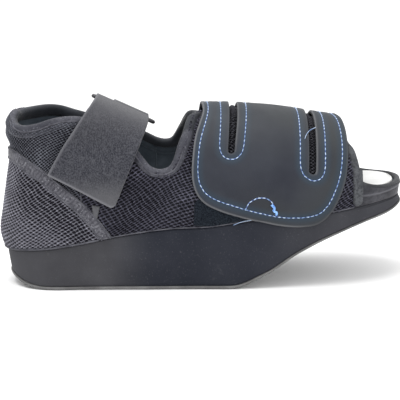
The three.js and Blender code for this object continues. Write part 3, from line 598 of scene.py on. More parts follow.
def joined(parts):
    """Several meshes as one list of points and one of faces."""
    base, points, faces = 0, [], []
    for part_points, part_faces in parts:
        points.append(part_points)
        faces.extend([[v + base for v in face] for face in part_faces])
        base += len(part_points)
    return np.concatenate(points), faces


def make_cords(name, parts, finish):
    """Several cords or rows of stitches as one piece."""
    points, faces = joined(parts)
    make_piece(name, points, faces, finish)


def tube(line, radius, lean, sides=10, closed=False):
    """A round wire or cord along a line, with a direction that its sides lean to."""
    tangent = heading(line, closed)
    outward = square_to(tangent, np.broadcast_to(lean, line.shape))
    across = np.cross(tangent, outward)
    angle = (2 * np.pi * np.arange(sides) / sides)[None, :, None]
    ring = outward[:, None] * np.cos(angle) + across[:, None] * np.sin(angle)
    faces = grid_faces(len(line), sides, wrap_rows=closed, wrap_columns=True).tolist()
    if not closed:
        faces.append(list(range(sides)))
        faces.append(list(range((len(line) - 1) * sides, len(line) * sides))[::-1])
    return (line[:, None] + ring * radius).reshape(-1, 3), faces


def cord_on(surface, line, radius, lift, closed=False, spacing=1.2, sides=8):
    """A cord laid on a surface along a line of its chart."""
    line = tidy_loop(line, spacing, closed)
    low = surface(line, lift)
    return tube(low, radius, surface(line, lift + 1) - low, sides, closed)


# Stitches: rings of points from end to end as shares of half the length, and their shares of the radius.
STITCH_PLACES = np.array([-1, -0.8, -0.4, 0.4, 0.8, 1])
STITCH_SWELLING = np.array([0.3, 0.75, 1, 1, 0.75, 0.3])
STITCH_SIDES = 6
STITCH_SINK = 0.9
STITCH_TURN = 0.16
STITCH_RHYTHM = 2.7


def stitches_on(surface, line, pitch, length, radius, lift, closed=True):
    """Separate stitches along a line of a surface's chart, their ends sunk into the cloth."""
    line = tidy_loop(line, pitch, closed)
    ahead = heading(line, closed) * length / 2
    turn = STITCH_TURN * np.sin(STITCH_RHYTHM * np.arange(len(line)))[:, None]
    ahead = ahead + turn * ahead[:, ::-1] * (-1, 1)
    middle = surface(line, lift)
    along = unit(surface(line + ahead, lift) - surface(line - ahead, lift))
    upward = square_to(along, surface(line, lift + 1) - middle)
    across = np.cross(along, upward)
    angle = 2 * np.pi * np.arange(STITCH_SIDES) / STITCH_SIDES
    places, swelling = STITCH_PLACES[:, None], STITCH_SWELLING[:, None]
    rise = radius * (swelling * np.cos(angle)[None] - STITCH_SINK * np.abs(places) ** 3)
    spread = radius * swelling * np.sin(angle)[None]
    reach = (places * length / 2)[None, ..., None]
    points = middle[:, None, None] + along[:, None, None] * reach
    points = points + upward[:, None, None] * rise[None, ..., None]
    points = points + across[:, None, None] * spread[None, ..., None]
    size = len(places) * STITCH_SIDES
    one = grid_faces(len(places), STITCH_SIDES, wrap_columns=True).tolist()
    one += [list(range(STITCH_SIDES)), list(range(size - STITCH_SIDES, size))[::-1]]
    faces = [[v + k * size for v in face] for k in range(len(line)) for face in one]
    return points.reshape(-1, 3), faces


# Border of a net's cell in half steps of the lattice, from its middle. Holes reach a share of the way to it.
CELL_BORDER = np.array([(-1, -1), (0, -1), (1, -1), (1, 0), (1, 1), (0, 1), (-1, 1), (-1, 0)])
HOLE_REACH = (0.78, 0.7)
HOLE_CORNER = 0.7
HOLE_UNEVENNESS = 0.14
HOLE_RHYTHM = (3.1, 5.3)
EVEN_HOLES = 0.98
EVEN_HOLE_SWING = 0.14
NET_HEIGHTS = dict(knot=1.0, strong=0.85, weak=0.6, rim=0.1)
SLOW_DRIFT = 1.9
QUICK_DRIFT = 0.35

# Numbers that scatter the knots by their place in the lattice.
SCATTER = np.array([[12.9898, 39.346], [78.233, 11.135]])
SCATTER_SCALE = 43758.5453


def drift(places):
    """Slow and quick wander of woven rows over a chart. Divisors are wave lengths in millimetres."""
    x, y = places[..., 0], places[..., 1]
    slow = np.stack([np.sin(y / 9 + 1.3 * np.sin(x / 23)), np.sin(x / 12 + 1.1 * np.sin(y / 19))], -1)
    quick = np.stack([np.sin(x / 4.1 + 2 + y / 7), np.sin(y / 3.7 + x / 9)], -1)
    return SLOW_DRIFT * slow + QUICK_DRIFT * quick


def lattice_net(keep, low, high, steps, turns, wobble, open_at):
    """Open slanted lattice between two chart corners: points, faces and each point's share of the height."""
    basis = np.array([[-step * math.cos(math.radians(turn)), step * math.sin(math.radians(turn))]
                      for step, turn in zip(steps, turns)])
    low, high = np.asarray(low, float), np.asarray(high, float)
    corners = np.array([[x, y] for x in (low[0], high[0]) for y in (low[1], high[1])])
    spans = (corners - low) @ np.linalg.inv(basis)
    first, last = np.floor(spans.min(0)).astype(int) - 1, np.ceil(spans.max(0)).astype(int) + 1
    numbers = [np.arange(first[k], last[k]) for k in (0, 1)]
    cells = np.stack(np.meshgrid(*numbers, indexing="ij"), -1).reshape(-1, 2)
    middle = low + (cells + 0.5) @ basis
    within = ((middle > low) & (middle < high)).all(axis=1)
    cells, middle = cells[within], middle[within]
    kept = keep(middle + drift(middle))
    cells, middle = cells[kept], middle[kept]
    places = (2 * cells[:, None] + 1 + CELL_BORDER[None]).reshape(-1, 2)
    unique, index = np.unique(places, axis=0, return_inverse=True)
    index = index.reshape(-1, 8)
    shake = np.sin(unique @ SCATTER) * SCATTER_SCALE
    moved = wobble * (shake % 1 - 0.5)
    rim = low + unique / 2 @ basis + moved
    corner = np.where(np.abs(CELL_BORDER).sum(axis=1) == 2, HOLE_CORNER, 1)[:, None]
    swell = 1 + HOLE_UNEVENNESS * np.sin(HOLE_RHYTHM[0] * cells[:, :1] + HOLE_RHYTHM[1] * cells[:, 1:])
    swell = swell * open_at(middle)[:, None]
    hole = middle[:, None] + (CELL_BORDER * HOLE_REACH * corner / 2 @ basis)[None] * swell[..., None]
    hole += moved[index].mean(axis=1, keepdims=True)
    odd = unique % 2
    strand = np.where(odd[:, 0] == 1, NET_HEIGHTS["strong"], NET_HEIGHTS["weak"])
    heights = np.where(odd.sum(axis=1) == 0, NET_HEIGHTS["knot"], strand)
    inner = len(rim) + np.arange(8 * len(cells)).reshape(-1, 8)
    faces = []
    for k in range(8):
        after = (k + 1) % 8
        faces.append(np.stack([index[:, k], index[:, after], inner[:, after], inner[:, k]], -1))
    heights = np.concatenate([heights, np.full(8 * len(cells), NET_HEIGHTS["rim"])])
    places = np.concatenate([rim, hole.reshape(-1, 2)])
    return places + drift(places), np.concatenate(faces), heights


def even_holes(middle):
    """How wide the holes open, nearly the same all over. Divisors are wave lengths in millimetres."""
    return EVEN_HOLES + EVEN_HOLE_SWING * np.sin(middle[:, 0] / 9 + 2 * np.sin(middle[:, 1] / 14))


def make_net(name, surface, keep, low, high, weave, base, height, finish, open_at=even_holes):
    """A net on a surface. The weave is the threads' steps, their turns and how much the knots wander."""
    chart, faces, share = lattice_net(keep, low, high, *weave, open_at)
    top, bottom = surface(chart, base + height * share), surface(chart, base)
    make_sheet(name, top, bottom, faces, finish, (), chart, {"height": share})


# Materials

class Finish:
    """A procedural material with short calls for its nodes."""

    def __init__(self, name, roughness=0.8, specular=0.5, sheen=0.0, sheen_roughness=0.5, metallic=0.0):
        self.material = bpy.data.materials.new(name)
        self.material.use_nodes = True
        self.nodes, self.links = self.material.node_tree.nodes, self.material.node_tree.links
        self.shader = self.nodes["Principled BSDF"]
        self.shader.inputs["Roughness"].default_value = roughness
        self.shader.inputs["Specular IOR Level"].default_value = specular
        self.shader.inputs["Sheen Weight"].default_value = sheen
        self.shader.inputs["Sheen Roughness"].default_value = sheen_roughness
        self.shader.inputs["Metallic"].default_value = metallic
        self.place = self.nodes.new("ShaderNodeTexCoord").outputs["Object"]
        self.height = None

    def feed(self, socket, value):
        if isinstance(value, bpy.types.NodeSocket):
            self.links.new(value, socket)
        else:
            socket.default_value = value

    def chart(self, turn=0.0):
        """The piece's own flat chart in metres, turned by degrees."""
        node = self.nodes.new("ShaderNodeUVMap")
        node.uv_map = "chart"
        mapping = self.nodes.new("ShaderNodeMapping")
        mapping.inputs["Scale"].default_value = (METRE, METRE, 1)
        mapping.inputs["Rotation"].default_value = (0, 0, math.radians(turn))
        self.links.new(node.outputs[0], mapping.inputs["Vector"])
        return mapping.outputs[0]

    def axis(self, index):
        """One coordinate of the place on the object, in metres."""
        node = self.nodes.new("ShaderNodeSeparateXYZ")
        self.links.new(self.place, node.inputs[0])
        return node.outputs[index]

    def value(self, name):
        node = self.nodes.new("ShaderNodeAttribute")
        node.attribute_name = name
        return node.outputs["Fac"]

    def stretched(self, scale):
        mapping = self.nodes.new("ShaderNodeMapping")
        mapping.inputs["Scale"].default_value = scale
        self.links.new(self.place, mapping.inputs["Vector"])
        return mapping.outputs[0]

    def noise(self, scale, detail=3.0, roughness=0.55, vector=None):
        node = self.nodes.new("ShaderNodeTexNoise")
        node.inputs["Scale"].default_value = scale
        node.inputs["Detail"].default_value = detail
        node.inputs["Roughness"].default_value = roughness
        self.links.new(vector or self.place, node.inputs["Vector"])
        return node.outputs["Fac"]

    def cells(self, scale):
        node = self.nodes.new("ShaderNodeTexVoronoi")
        node.inputs["Scale"].default_value = scale
        self.links.new(self.place, node.inputs["Vector"])
        return node.outputs["Distance"]

    def waves(self, scale, vector, distortion=0.0, direction="X"):
        node = self.nodes.new("ShaderNodeTexWave")
        node.bands_direction = direction
        node.inputs["Scale"].default_value = scale
        node.inputs["Distortion"].default_value = distortion
        self.links.new(vector, node.inputs["Vector"])
        return node.outputs["Fac"]

    def ramp(self, value, low, high, start=0.0, end=1.0):
        """A soft run from start to end while a value goes from low to high."""
        node = self.nodes.new("ShaderNodeMapRange")
        node.interpolation_type = "SMOOTHSTEP"
        for key, number in (("From Min", low), ("From Max", high), ("To Min", start), ("To Max", end)):
            node.inputs[key].default_value = number
        self.links.new(value, node.inputs["Value"])
        return node.outputs[0]

    def product(self, a, b):
        node = self.nodes.new("ShaderNodeMath")
        node.operation = "MULTIPLY"
        self.links.new(a, node.inputs[0])
        self.links.new(b, node.inputs[1])
        return node.outputs[0]

    def blend(self, share, a, b):
        node = self.nodes.new("ShaderNodeMix")
        node.data_type = "RGBA"
        self.feed(node.inputs[0], share)
        for socket, colour in ((node.inputs[6], a), (node.inputs[7], b)):
            self.feed(socket, colour if isinstance(colour, bpy.types.NodeSocket) else (*colour, 1))
        return node.outputs[2]

    def mottle(self, pattern, dark, light):
        """Two tones mixed softly by a pattern."""
        return self.blend(self.ramp(pattern, 0.3, 0.7), dark, light)

    def tint(self, colour, tone, value, low, high, share):
        """Another tone over a colour, from none to a share of it while a value goes from low to high."""
        return self.blend(self.ramp(value, low, high, 0.0, share), colour, tone)

    def bump(self, value, depth, strength=1.0):
        """Adds relief: depth in millimetres for a value from 0 to 1."""
        node = self.nodes.new("ShaderNodeBump")
        node.inputs["Strength"].default_value = strength
        node.inputs["Distance"].default_value = depth * METRE
        self.links.new(value, node.inputs["Height"])
        if self.height:
            self.links.new(self.height, node.inputs["Normal"])
        self.height = node.outputs[0]

    def done(self, colour, roughness=None):
        self.feed(self.shader.inputs["Base Color"], colour)
        if roughness is not None:
            self.feed(self.shader.inputs["Roughness"], roughness)
        if self.height:
            self.links.new(self.height, self.shader.inputs["Normal"])
        return self.material


def plain_finish(name, pattern, dark, light, bumps, **look):
    """Two tones mixed by one noise. Bumps are noises too, as scale, detail, depth and strength."""
    f = Finish(name, **look)
    colour = f.mottle(f.noise(*pattern), dark, light)
    for scale, detail, depth, strength in bumps:
        f.bump(f.noise(scale, detail), depth, strength)
    return f.done(colour)


def foam_finish():
    f = Finish("midsole_foam", roughness=0.75, specular=0.12)
    cloud = f.noise(28, 4)
    # Painted light and shade: the two tones are blended by place along the sole, lighter at the heel,
    # somewhat lighter at the toe and darker in the middle.
    dark = f.mottle(cloud, (0.013, 0.015, 0.022), (0.021, 0.023, 0.031))
    light = f.mottle(cloud, (0.040, 0.040, 0.045), (0.056, 0.056, 0.062))
    behind, ahead = f.ramp(f.axis(0), -0.075, -0.03), f.ramp(f.axis(0), 0.03, 0.09, 1.0, 0.35)
    middle = f.product(behind, ahead)
    colour = f.blend(middle, light, dark)
    colour = f.tint(colour, (0.085, 0.085, 0.095), f.noise(900, 2), 0.6, 0.75, 0.3)
    patches, scratches = f.ramp(f.noise(60, 5, 0.7), 0.6, 0.7), f.ramp(f.noise(420, 3, 0.7), 0.52, 0.62)
    scuff = f.product(patches, scratches)
    heel = f.ramp(f.axis(0), -0.125, -0.06, 0.8, 0.05)
    colour = f.blend(f.product(scuff, heel), colour, (0.2, 0.2, 0.205))
    f.bump(f.noise(1500, 2), 0.12, 0.5)
    f.bump(f.noise(120, 3), 0.25, 0.3)
    return f.done(colour, f.ramp(cloud, 0.2, 0.8, 0.66, 0.8))


def rubber_finish():
    f = Finish("outsole_rubber", roughness=0.75, specular=0.25)
    colour = f.mottle(f.noise(60, 4), (0.085, 0.085, 0.086), (0.15, 0.15, 0.15))
    colour = f.tint(colour, (0.25, 0.25, 0.25), f.noise(500, 3), 0.56, 0.7, 0.25)
    f.bump(f.noise(900, 3), 0.1, 0.5)
    return f.done(colour)


def insole_finish():
    f = Finish("insole_cover", roughness=0.85, specular=0.3, sheen=0.1)
    colour = f.mottle(f.noise(40, 4), (0.64, 0.64, 0.63), (0.72, 0.72, 0.71))
    weft, warp = (f.waves(800, f.place, 0.3, direction) for direction in "XY")
    f.bump(f.product(weft, warp), 0.08, 0.5)
    return f.done(colour)


def yarn_finish(name, dark, light):
    f = Finish(name, roughness=0.75, specular=0.15, sheen=0.05)
    colour = f.mottle(f.noise(900, 3), dark, light)
    colour = f.tint(colour, tuple(1.7 * c for c in light), f.noise(60, 4), 0.5, 0.75, 0.6)
    # Painted highlight: a lighter tone on the crests of the strands, at random spots.
    highlight_crest, highlight_spots = f.ramp(f.value("height"), 0.8, 0.98), f.ramp(f.noise(420, 2), 0.48, 0.6, 0.0, 0.8)
    colour = f.blend(f.product(highlight_crest, highlight_spots), colour, tuple(2.6 * c for c in light))
    # Painted shade: the net turns darker from its strands down to the rims of its holes.
    low = f.ramp(f.value("height"), 0.2, 0.85, 0.85, 0.0)
    colour = f.blend(low, colour, tuple(0.2 * c for c in dark))
    f.bump(f.noise(3500, 2), 0.06, 0.6)
    return f.done(colour)


def knit_relief(f):
    weft = f.waves(1100, f.chart(45), 0.4)
    warp = f.waves(1100, f.chart(-45), 0.4)
    f.bump(f.product(weft, warp), 0.08, 0.5)
    f.bump(f.noise(160, 3), 0.35, 0.4)


def lining_finish():
    f = Finish("lining", roughness=0.6, specular=0.2, sheen=0.1, sheen_roughness=0.4)
    light = f.mottle(f.noise(45, 3), (0.030, 0.031, 0.041), (0.066, 0.067, 0.081))
    light = f.tint(light, (0.022, 0.022, 0.030), f.noise(520, 3, 0.7), 0.47, 0.62, 0.55)
    light = f.tint(light, (0.13, 0.13, 0.15), f.noise(640, 2, 0.7), 0.56, 0.68, 0.6)
    dark = f.mottle(f.noise(60, 4), (0.010, 0.012, 0.016), (0.024, 0.027, 0.034))
    # The dark tone goes on the roll's inward face; on the roll by the throat it is painted shade.
    colour = f.blend(f.ramp(f.value("outer"), -0.25, 0.3), dark, light)
    knit_relief(f)
    return f.done(colour)


def toe_lining_finish():
    f = Finish("toe_lining", roughness=0.65, specular=0.2, sheen=0.1, sheen_roughness=0.4)
    light = f.mottle(f.noise(90, 4), (0.034, 0.036, 0.041), (0.072, 0.076, 0.083))
    light = f.tint(light, (0.018, 0.019, 0.023), f.noise(560, 3, 0.7), 0.46, 0.62, 0.75)
    dark = f.mottle(f.noise(60, 4), (0.016, 0.017, 0.020), (0.035, 0.036, 0.040))
    colour = f.blend(f.ramp(f.value("forward"), 0.775, 0.8), light, dark)
    # The dark tone goes on the roll's inward face; on its highest part, by the flap, it is painted shade.
    colour = f.blend(f.ramp(f.value("outer"), -0.5, 0.1), dark, colour)
    knit_relief(f)
    return f.done(colour)


def toe_wall_finish():
    f = Finish("toe_wall", roughness=0.7, specular=0.2, sheen=0.1)
    colour = f.mottle(f.noise(70, 4), (0.016, 0.016, 0.021), (0.048, 0.048, 0.056))
    colour = f.tint(colour, (0.012, 0.012, 0.016), f.noise(480, 3, 0.7), 0.47, 0.62, 0.5)
    # Painted highlight: a lighter line along the fold's ridge.
    colour = f.blend(f.value("fold"), colour, (0.10, 0.10, 0.115))
    f.bump(f.noise(1400, 2), 0.1, 0.5)
    f.bump(f.noise(150, 3), 0.3, 0.4)
    return f.done(colour)


def tape_finish():
    f = Finish("binding_tape", roughness=0.75, specular=0.2, sheen=0.1)
    colour = f.mottle(f.noise(90, 4), (0.062, 0.061, 0.073), (0.105, 0.104, 0.120))
    colour = f.tint(colour, (0.022, 0.022, 0.028), f.value("seam"), 0.1, 0.9, 0.8)
    rib = f.waves(115, f.chart(), 3.5)
    # Painted shade: the troughs between the ribs are darkened.
    colour = f.blend(f.ramp(rib, 0.15, 0.55, 0.55, 0.0), colour, (0.026, 0.026, 0.034))
    colour = f.tint(colour, (0.026, 0.026, 0.034), f.noise(380, 3, 0.7), 0.5, 0.64, 0.6)
    colour = f.tint(colour, (0.18, 0.18, 0.20), f.noise(620, 2, 0.7), 0.54, 0.66, 0.8)
    f.bump(rib, 0.35, 0.7)
    f.bump(f.noise(450, 3, 0.7), 0.3, 0.8)
    return f.done(colour)


def flap_finish():
    f = Finish("flap_leather", roughness=0.6, specular=0.14)
    cloud = f.noise(24, 4)
    colour = f.mottle(cloud, (0.019, 0.021, 0.029), (0.030, 0.033, 0.042))
    colour = f.tint(colour, (0.034, 0.037, 0.037), f.noise(9, 3), 0.45, 0.7, 0.7)
    colour = f.blend(f.ramp(f.value("seam"), 0.0, 5.5, 0.75, 0.0), colour, (0.025, 0.040, 0.058))
    # Painted light: the flap turns lighter towards its top.
    colour = f.tint(colour, (0.070, 0.074, 0.076), f.axis(2), 0.085, 0.122, 0.3)
    # Lighter cut edge: the edge's own lighter tone, with painted light in how strong it is on each side.
    colour = f.blend(f.value("lip"), colour, (0.17, 0.172, 0.18))
    f.bump(f.cells(900), 0.05, 0.5)
    f.bump(f.noise(1600, 3), 0.05, 0.6)
    f.bump(f.noise(70, 3), 0.3, 0.25)
    return f.done(colour, f.ramp(f.noise(50, 3), 0.3, 0.7, 0.52, 0.68))


def thread_finish(name, dark, light):
    f = Finish(name, roughness=0.5, specular=0.4, sheen=0.2)
    colour = f.blend(f.ramp(f.noise(400, 2), 0.35, 0.65), dark, light)
    f.bump(f.noise(5000, 2), 0.04, 0.5)
    return f.done(colour)


def felt_finish():
    f = Finish("strap_felt", roughness=0.92, specular=0.15, sheen=0.15, sheen_roughness=0.6)
    fibre = f.noise(1500, 2, 0.6, f.stretched((1, 1, 0.6)))
    colour = f.blend(f.ramp(fibre, 0.35, 0.65), (0.010, 0.011, 0.017), (0.050, 0.051, 0.062))
    colour = f.tint(colour, (0.075, 0.076, 0.086), f.noise(260, 4, 0.7), 0.48, 0.66, 0.35)
    # Painted light: the strap turns lighter towards its top.
    colour = f.tint(colour, (0.062, 0.061, 0.066), f.axis(2), 0.095, 0.13, 0.4)
    low = f.ramp(f.axis(2), 0.062, 0.085, 0.75, 0.0)
    colour = f.blend(low, colour, (0.092, 0.092, 0.099))
    colour = f.blend(f.value("selvage"), colour, (0.15, 0.15, 0.165))
    weft, warp = (f.waves(700, f.chart(), 0.8, direction) for direction in "XY")
    f.bump(f.product(weft, warp), 0.12, 0.6)
    f.bump(fibre, 0.25, 0.6)
    return f.done(colour)


def velour_finish():
    f = Finish("velour", roughness=0.95, specular=0.05, sheen=0.05, sheen_roughness=0.5)
    fibre = f.noise(1100, 4, 0.75)
    colour = f.blend(f.ramp(fibre, 0.35, 0.7), (0.003, 0.004, 0.007), (0.020, 0.026, 0.034))
    f.bump(fibre, 0.4, 0.8)
    return f.done(colour)


FOAM = foam_finish()
RUBBER = rubber_finish()
COVER = insole_finish()
YARN = yarn_finish("mesh_yarn", (0.028, 0.028, 0.042), (0.072, 0.071, 0.096))
COARSE_YARN = yarn_finish("counter_yarn", (0.088, 0.087, 0.110), (0.19, 0.188, 0.22))
FINE_YARN = yarn_finish("collar_yarn", (0.054, 0.056, 0.072), (0.115, 0.120, 0.142))
SLOT_YARN = yarn_finish("slot_yarn", (0.020, 0.020, 0.026), (0.045, 0.045, 0.055))
BACKING = plain_finish("upper_backing", (500, 3), (0.004, 0.004, 0.006), (0.011, 0.011, 0.015),
                       [(1500, 2, 0.1, 0.5)], roughness=0.95, specular=0.1)
INSIDE = plain_finish("inside_lining", (60, 4), (0.046, 0.058, 0.074), (0.082, 0.100, 0.120),
                      [(1100, 2, 0.1, 0.6), (90, 3, 0.8, 0.4)], roughness=0.9, specular=0.15, sheen=0.1)
LINING = lining_finish()
TOE_LINING = toe_lining_finish()
TOE_WALL = toe_wall_finish()
TAPE = tape_finish()
PIPING = plain_finish("piping", (160, 3), (0.030, 0.030, 0.040), (0.088, 0.088, 0.104),
                      [(2500, 2, 0.06, 0.6)], roughness=0.6, specular=0.3)
LEATHER = flap_finish()
CUT_EDGE = plain_finish("flap_cut_edge", (500, 3), (0.06, 0.062, 0.068), (0.13, 0.133, 0.142),
                        [(1500, 2, 0.1, 0.6)], roughness=0.85, specular=0.2)
THREAD = thread_finish("blue_thread", (0.016, 0.036, 0.12), (0.045, 0.09, 0.25))
# Pale stitches over the blue seam cord: a paler thread, whose light tone also paints the highlights of the
# blue thread.
PALE_THREAD_AND_HIGHLIGHT = thread_finish("pale_thread_and_highlight", (0.15, 0.25, 0.45), (0.44, 0.54, 0.70))
KNOT_THREAD = thread_finish("knot_thread", (0.05, 0.18, 0.55), (0.22, 0.42, 0.8))
FELT = felt_finish()
VELOUR = velour_finish()
METAL = plain_finish("ring_metal", (200, 3), (0.03, 0.03, 0.034), (0.06, 0.06, 0.066),
                     [(600, 3, 0.05, 0.4)], roughness=0.35, specular=0.5, metallic=0.6)


# Sole

OUTLINE_TURNS = np.linspace(0, 1, 161)
OUTLINE_X = place_at_turn(OUTLINE_TURNS)
INSIDE_WALL = -(WALL_THICKNESS + 2 * SEAT_GAP + SOLE_WALL_ROOM)

# Outsole: half widths of a groove's flat and mouth about its middle, and the slope of its ends; inset of the
# sole's round and share of the depth up the lower edge; inset and share of the depth up the lip.
GROOVE_SIDES = np.array([-0.6, 0.3]) + GROOVE_WIDTH / 2
GROOVE_END_SLOPE = 0.3
LOWER_ROUND = ((1, 0), (0.5, 0.1), (0.12, 0.25), (0, 0.42))
LIP_ROUND = ((0, 0.72), (0.12, 0.88), (TOP_INSET, 1))

# Midsole: inset and rise of its lower edge, how the flare fades up the side, and its rounded top edge.
FOAM_FOOT = ((0.9, 0), (0.35, 0.12), (0.05, 0.45))
FOAM_FLARE = ((0, 0.5, 1), (1, 0.45, 0))
FOAM_SIDE_SHARES = np.linspace(0.06, 0.86, 9)
FOAM_ROUND_SHARE = 0.9
FOAM_ROUND_HEIGHT = 0.25
PLATEAU_LIFT = 0.01

# Footbed: widths of the rows towards its middle, and how deep it is dished.
FOOTBED_SHARES = (0.85, 0.65, 0.4, 0.15)
FOOTBED_DISH = 0.7


def around(values_near, values_far):
    """One closed row from the heel tip along the near side to the toe and back along the far side."""
    return np.concatenate([values_near, values_far[-2:0:-1]])


def outline_row(offset, height, turns=OUTLINE_TURNS):
    """One closed row round the shoe, at an offset out from the outline and at a height."""
    x = place_at_turn(turns)
    normal_x, normal_y = outline_normal(turns)
    row_y = -(half_width(x) + normal_y * offset)
    near = np.stack([x + normal_x * offset, row_y, np.broadcast_to(height, x.shape)], -1)
    return around(near, near * (1, -1, 1))


def stacked(rows):
    """Closed mesh of stacked outline rows, its ends closed straight across."""
    size = len(rows[0])
    faces = grid_faces(len(rows), size, wrap_columns=True).tolist()
    for base in (0, (len(rows) - 1) * size):
        for i in range(size // 2):
            faces.append([base + i, base + i + 1, base + (size - i - 1) % size, base + (size - i) % size])
    return np.concatenate(rows), [list(dict.fromkeys(f)) for f in faces]


def flare_at(x):
    return flare_share(share_of(x)) * SOLE_FLARE


def outsole_depth(x):
    thinning = smooth_step(OUTSOLE_THIN_START, 1, share_of(x))
    return OUTSOLE_THICKNESS * (1 - (1 - OUTSOLE_TOE_SHARE) * thinning)


def midsole_bottom(x):
    return underside_height(x) + outsole_depth(x) + SEAT_GAP


def plateau(x):
    return edge_height(x) + PLATEAU_HEIGHT * smooth_step(PLATEAU_START, PLATEAU_END, share_of(x))


def make_outsole():
    first_groove = HEEL_TIP + GROOVE_START
    marks = np.concatenate([-GROOVE_SIDES, GROOVE_SIDES, [0.0]])
    grooves = [first_groove + k * GROOVE_PITCH + marks for k in range(GROOVE_COUNT)]
    x = np.unique(np.concatenate([OUTLINE_X, *grooves]))
    turns = turn_at_place(x)
    floor, depth, lip = underside_height(x), outsole_depth(x), flare_at(x) + OUTSOLE_LIP
    nearest = np.clip(np.round((x - first_groove) / GROOVE_PITCH), 0, GROOVE_COUNT - 1)
    off = np.abs(x - first_groove - nearest * GROOVE_PITCH)
    groove = GROOVE_DEPTH * (1 - smooth_step(*GROOVE_SIDES, off))
    rows = [outline_row(-GROOVE_MARGIN - GROOVE_END_SLOPE, floor + groove, turns),
            outline_row(-GROOVE_MARGIN + GROOVE_END_SLOPE, floor, turns)]
    edge = [(inset * SOLE_ROUND, rise) for inset, rise in LOWER_ROUND] + list(LIP_ROUND)
    rows.extend(outline_row(lip - inset, floor + rise * depth, turns) for inset, rise in edge)
    points, faces = stacked(rows)
    make_piece("sole_rubber", points, faces, RUBBER, ["outsole"])


def make_midsole():
    bottom, edge, flare = midsole_bottom(OUTLINE_X), edge_height(OUTLINE_X), flare_at(OUTLINE_X)
    rows = [outline_row(flare - inset, bottom + rise) for inset, rise in FOAM_FOOT]
    for share in FOAM_SIDE_SHARES:
        rows.append(outline_row(flare * np.interp(share, *FOAM_FLARE), bottom + (edge - bottom) * share))
    radius = FOAM_ROUND_SHARE * np.minimum(SOLE_ROUND, FOAM_ROUND_HEIGHT * (edge - bottom))
    for angle in np.linspace(0, np.pi / 2, 5):
        rows.append(outline_row(-radius * (1 - np.cos(angle)), edge - radius * (1 - np.sin(angle))))
    rows.append(outline_row(INSIDE_WALL, edge))
    rows.append(outline_row(INSIDE_WALL, plateau(OUTLINE_X) + PLATEAU_LIFT))
    points, faces = stacked(rows)
    make_piece("sole_foam", points, faces, FOAM, ["midsole"])


def make_insole():
    bottom = plateau(OUTLINE_X) + SEAT_GAP
    rows = [outline_row(INSIDE_WALL - INSOLE_CHAMFER, bottom)]
    rows.append(outline_row(INSIDE_WALL, bottom + INSOLE_CHAMFER))
    for angle in np.linspace(0, np.pi / 2, 6):
        height = bottom + INSOLE_THICKNESS - INSOLE_CHAMFER * (1 - np.sin(angle))
        rows.append(outline_row(INSIDE_WALL - INSOLE_CHAMFER * (1 - np.cos(angle)), height))
    rim = rows[-1]
    for share in FOOTBED_SHARES:
        rows.append(rim * (1, share, 1) - (0, 0, FOOTBED_DISH * (1 - share**2)))
    points, faces = stacked(rows)
    make_piece("footbed", points, faces, COVER, ["insole"])


make_outsole()
make_midsole()
make_insole()


# Upper

# Collar rim. Shares: along of the last's length, near and far of the collar height, band of the roll's width.
COLLAR = table(
    ("along", "near", "far", "band"),
    (
        (0.008, 0.965, 0.98, 1.0),
        (0.03, 0.93, 0.982, 1.0),
        (0.06, 0.921, 0.983, 1.0),
        (0.1, 0.938, 0.987, 0.98),
        (0.135, 0.962, 0.978, 0.94),
        (0.17, 0.973, 0.952, 0.9),
        (0.205, 0.968, 0.926, 0.85),
        (0.24, 0.935, 0.9, 0.8),
        (0.275, 0.895, 0.876, 0.76),
        (0.305, 0.85, 0.855, 0.74),
        (0.328, 0.795, 0.836, 0.73),
        (0.345, 0.745, 0.818, 0.72),
        (0.363, 0.7, 0.797, 0.71),
        (0.385, 0.68, 0.772, 0.7),
        (0.405, 0.682, 0.76, 0.7),
        (0.424, 0.703, 0.763, 0.74),
        (0.438, 0.752, 0.781, 0.82),
        (0.4505, 0.825, 0.822, 0.92),
        (0.4625, 0.882, 0.876, 0.96),
    ),
)
THROAT = table(("along", "across", "band"), ((0.477, 0.32, 0.9), (0.489, 0.16, 0.75), (0.4935, 0.0, 0.7)))

# Toe opening. Shares: up of the toe rim's height, band and thick of the toe roll's width and thickness.
TOE_RIM = table(
    ("along", "up", "band", "thick"),
    (
        (1.0, 0.85, 0.5, 0.7),
        (0.993, 0.83, 0.5, 0.7),
        (0.975, 0.815, 0.5, 0.7),
        (0.955, 0.83, 0.5, 0.7),
        (0.93, 0.94, 0.5, 0.7),
        (0.908, 1.13, 0.5, 0.7),
        (0.89, 1.33, 0.6, 0.75),
        (0.878, 1.56, 0.8, 0.9),
        (0.8725, 1.9, 1.0, 1.0),
        (0.869, 2.45, 1.0, 1.0),
        (0.8655, 3.0, 1.0, 1.0),
        (0.8595, 3.58, 1.0, 1.0),
        (0.8485, 4.05, 1.0, 1.0),
    ),
)
VAMP_TOP = table(("along", "across"), ((0.8375, 0.42), (0.8315, 0.24), (0.829, 0.0)))
HEEL_COLLAR_SHARE = 0.994
ROLL_SQUARENESS = 0.75
ROLL_SIDES = 20

# Heights between which the throat's roll turns dark, and the place from which it does.
THROAT_SHADE = (103, 109)
THROAT_REAR = -30
SHADE_AMOUNT = 1.1

# Puckers of the rolls: share of the thickness, and wave lengths.
PUCKER = 0.02
PUCKER_WAVES = (3.1, 17, 1.9)

# The lining is what faces a line this far inside the last's ends and at most this high.
HEART_MARGIN = 45
HEART_HEIGHT = 85
WALL_LEVELS = 40

upper_skin = Skin(upper_roof)
flap_skin = Skin(flap_roof)


def up_across(x, across):
    """Girth up at x where the section is narrowed to a share of its width."""
    power = squareness(share_of(x))
    level = (1 - across**power) ** (1 / power)
    edge = edge_height(x)
    return upper_skin.up_at(x, edge + level * (upper_roof(x) - edge))


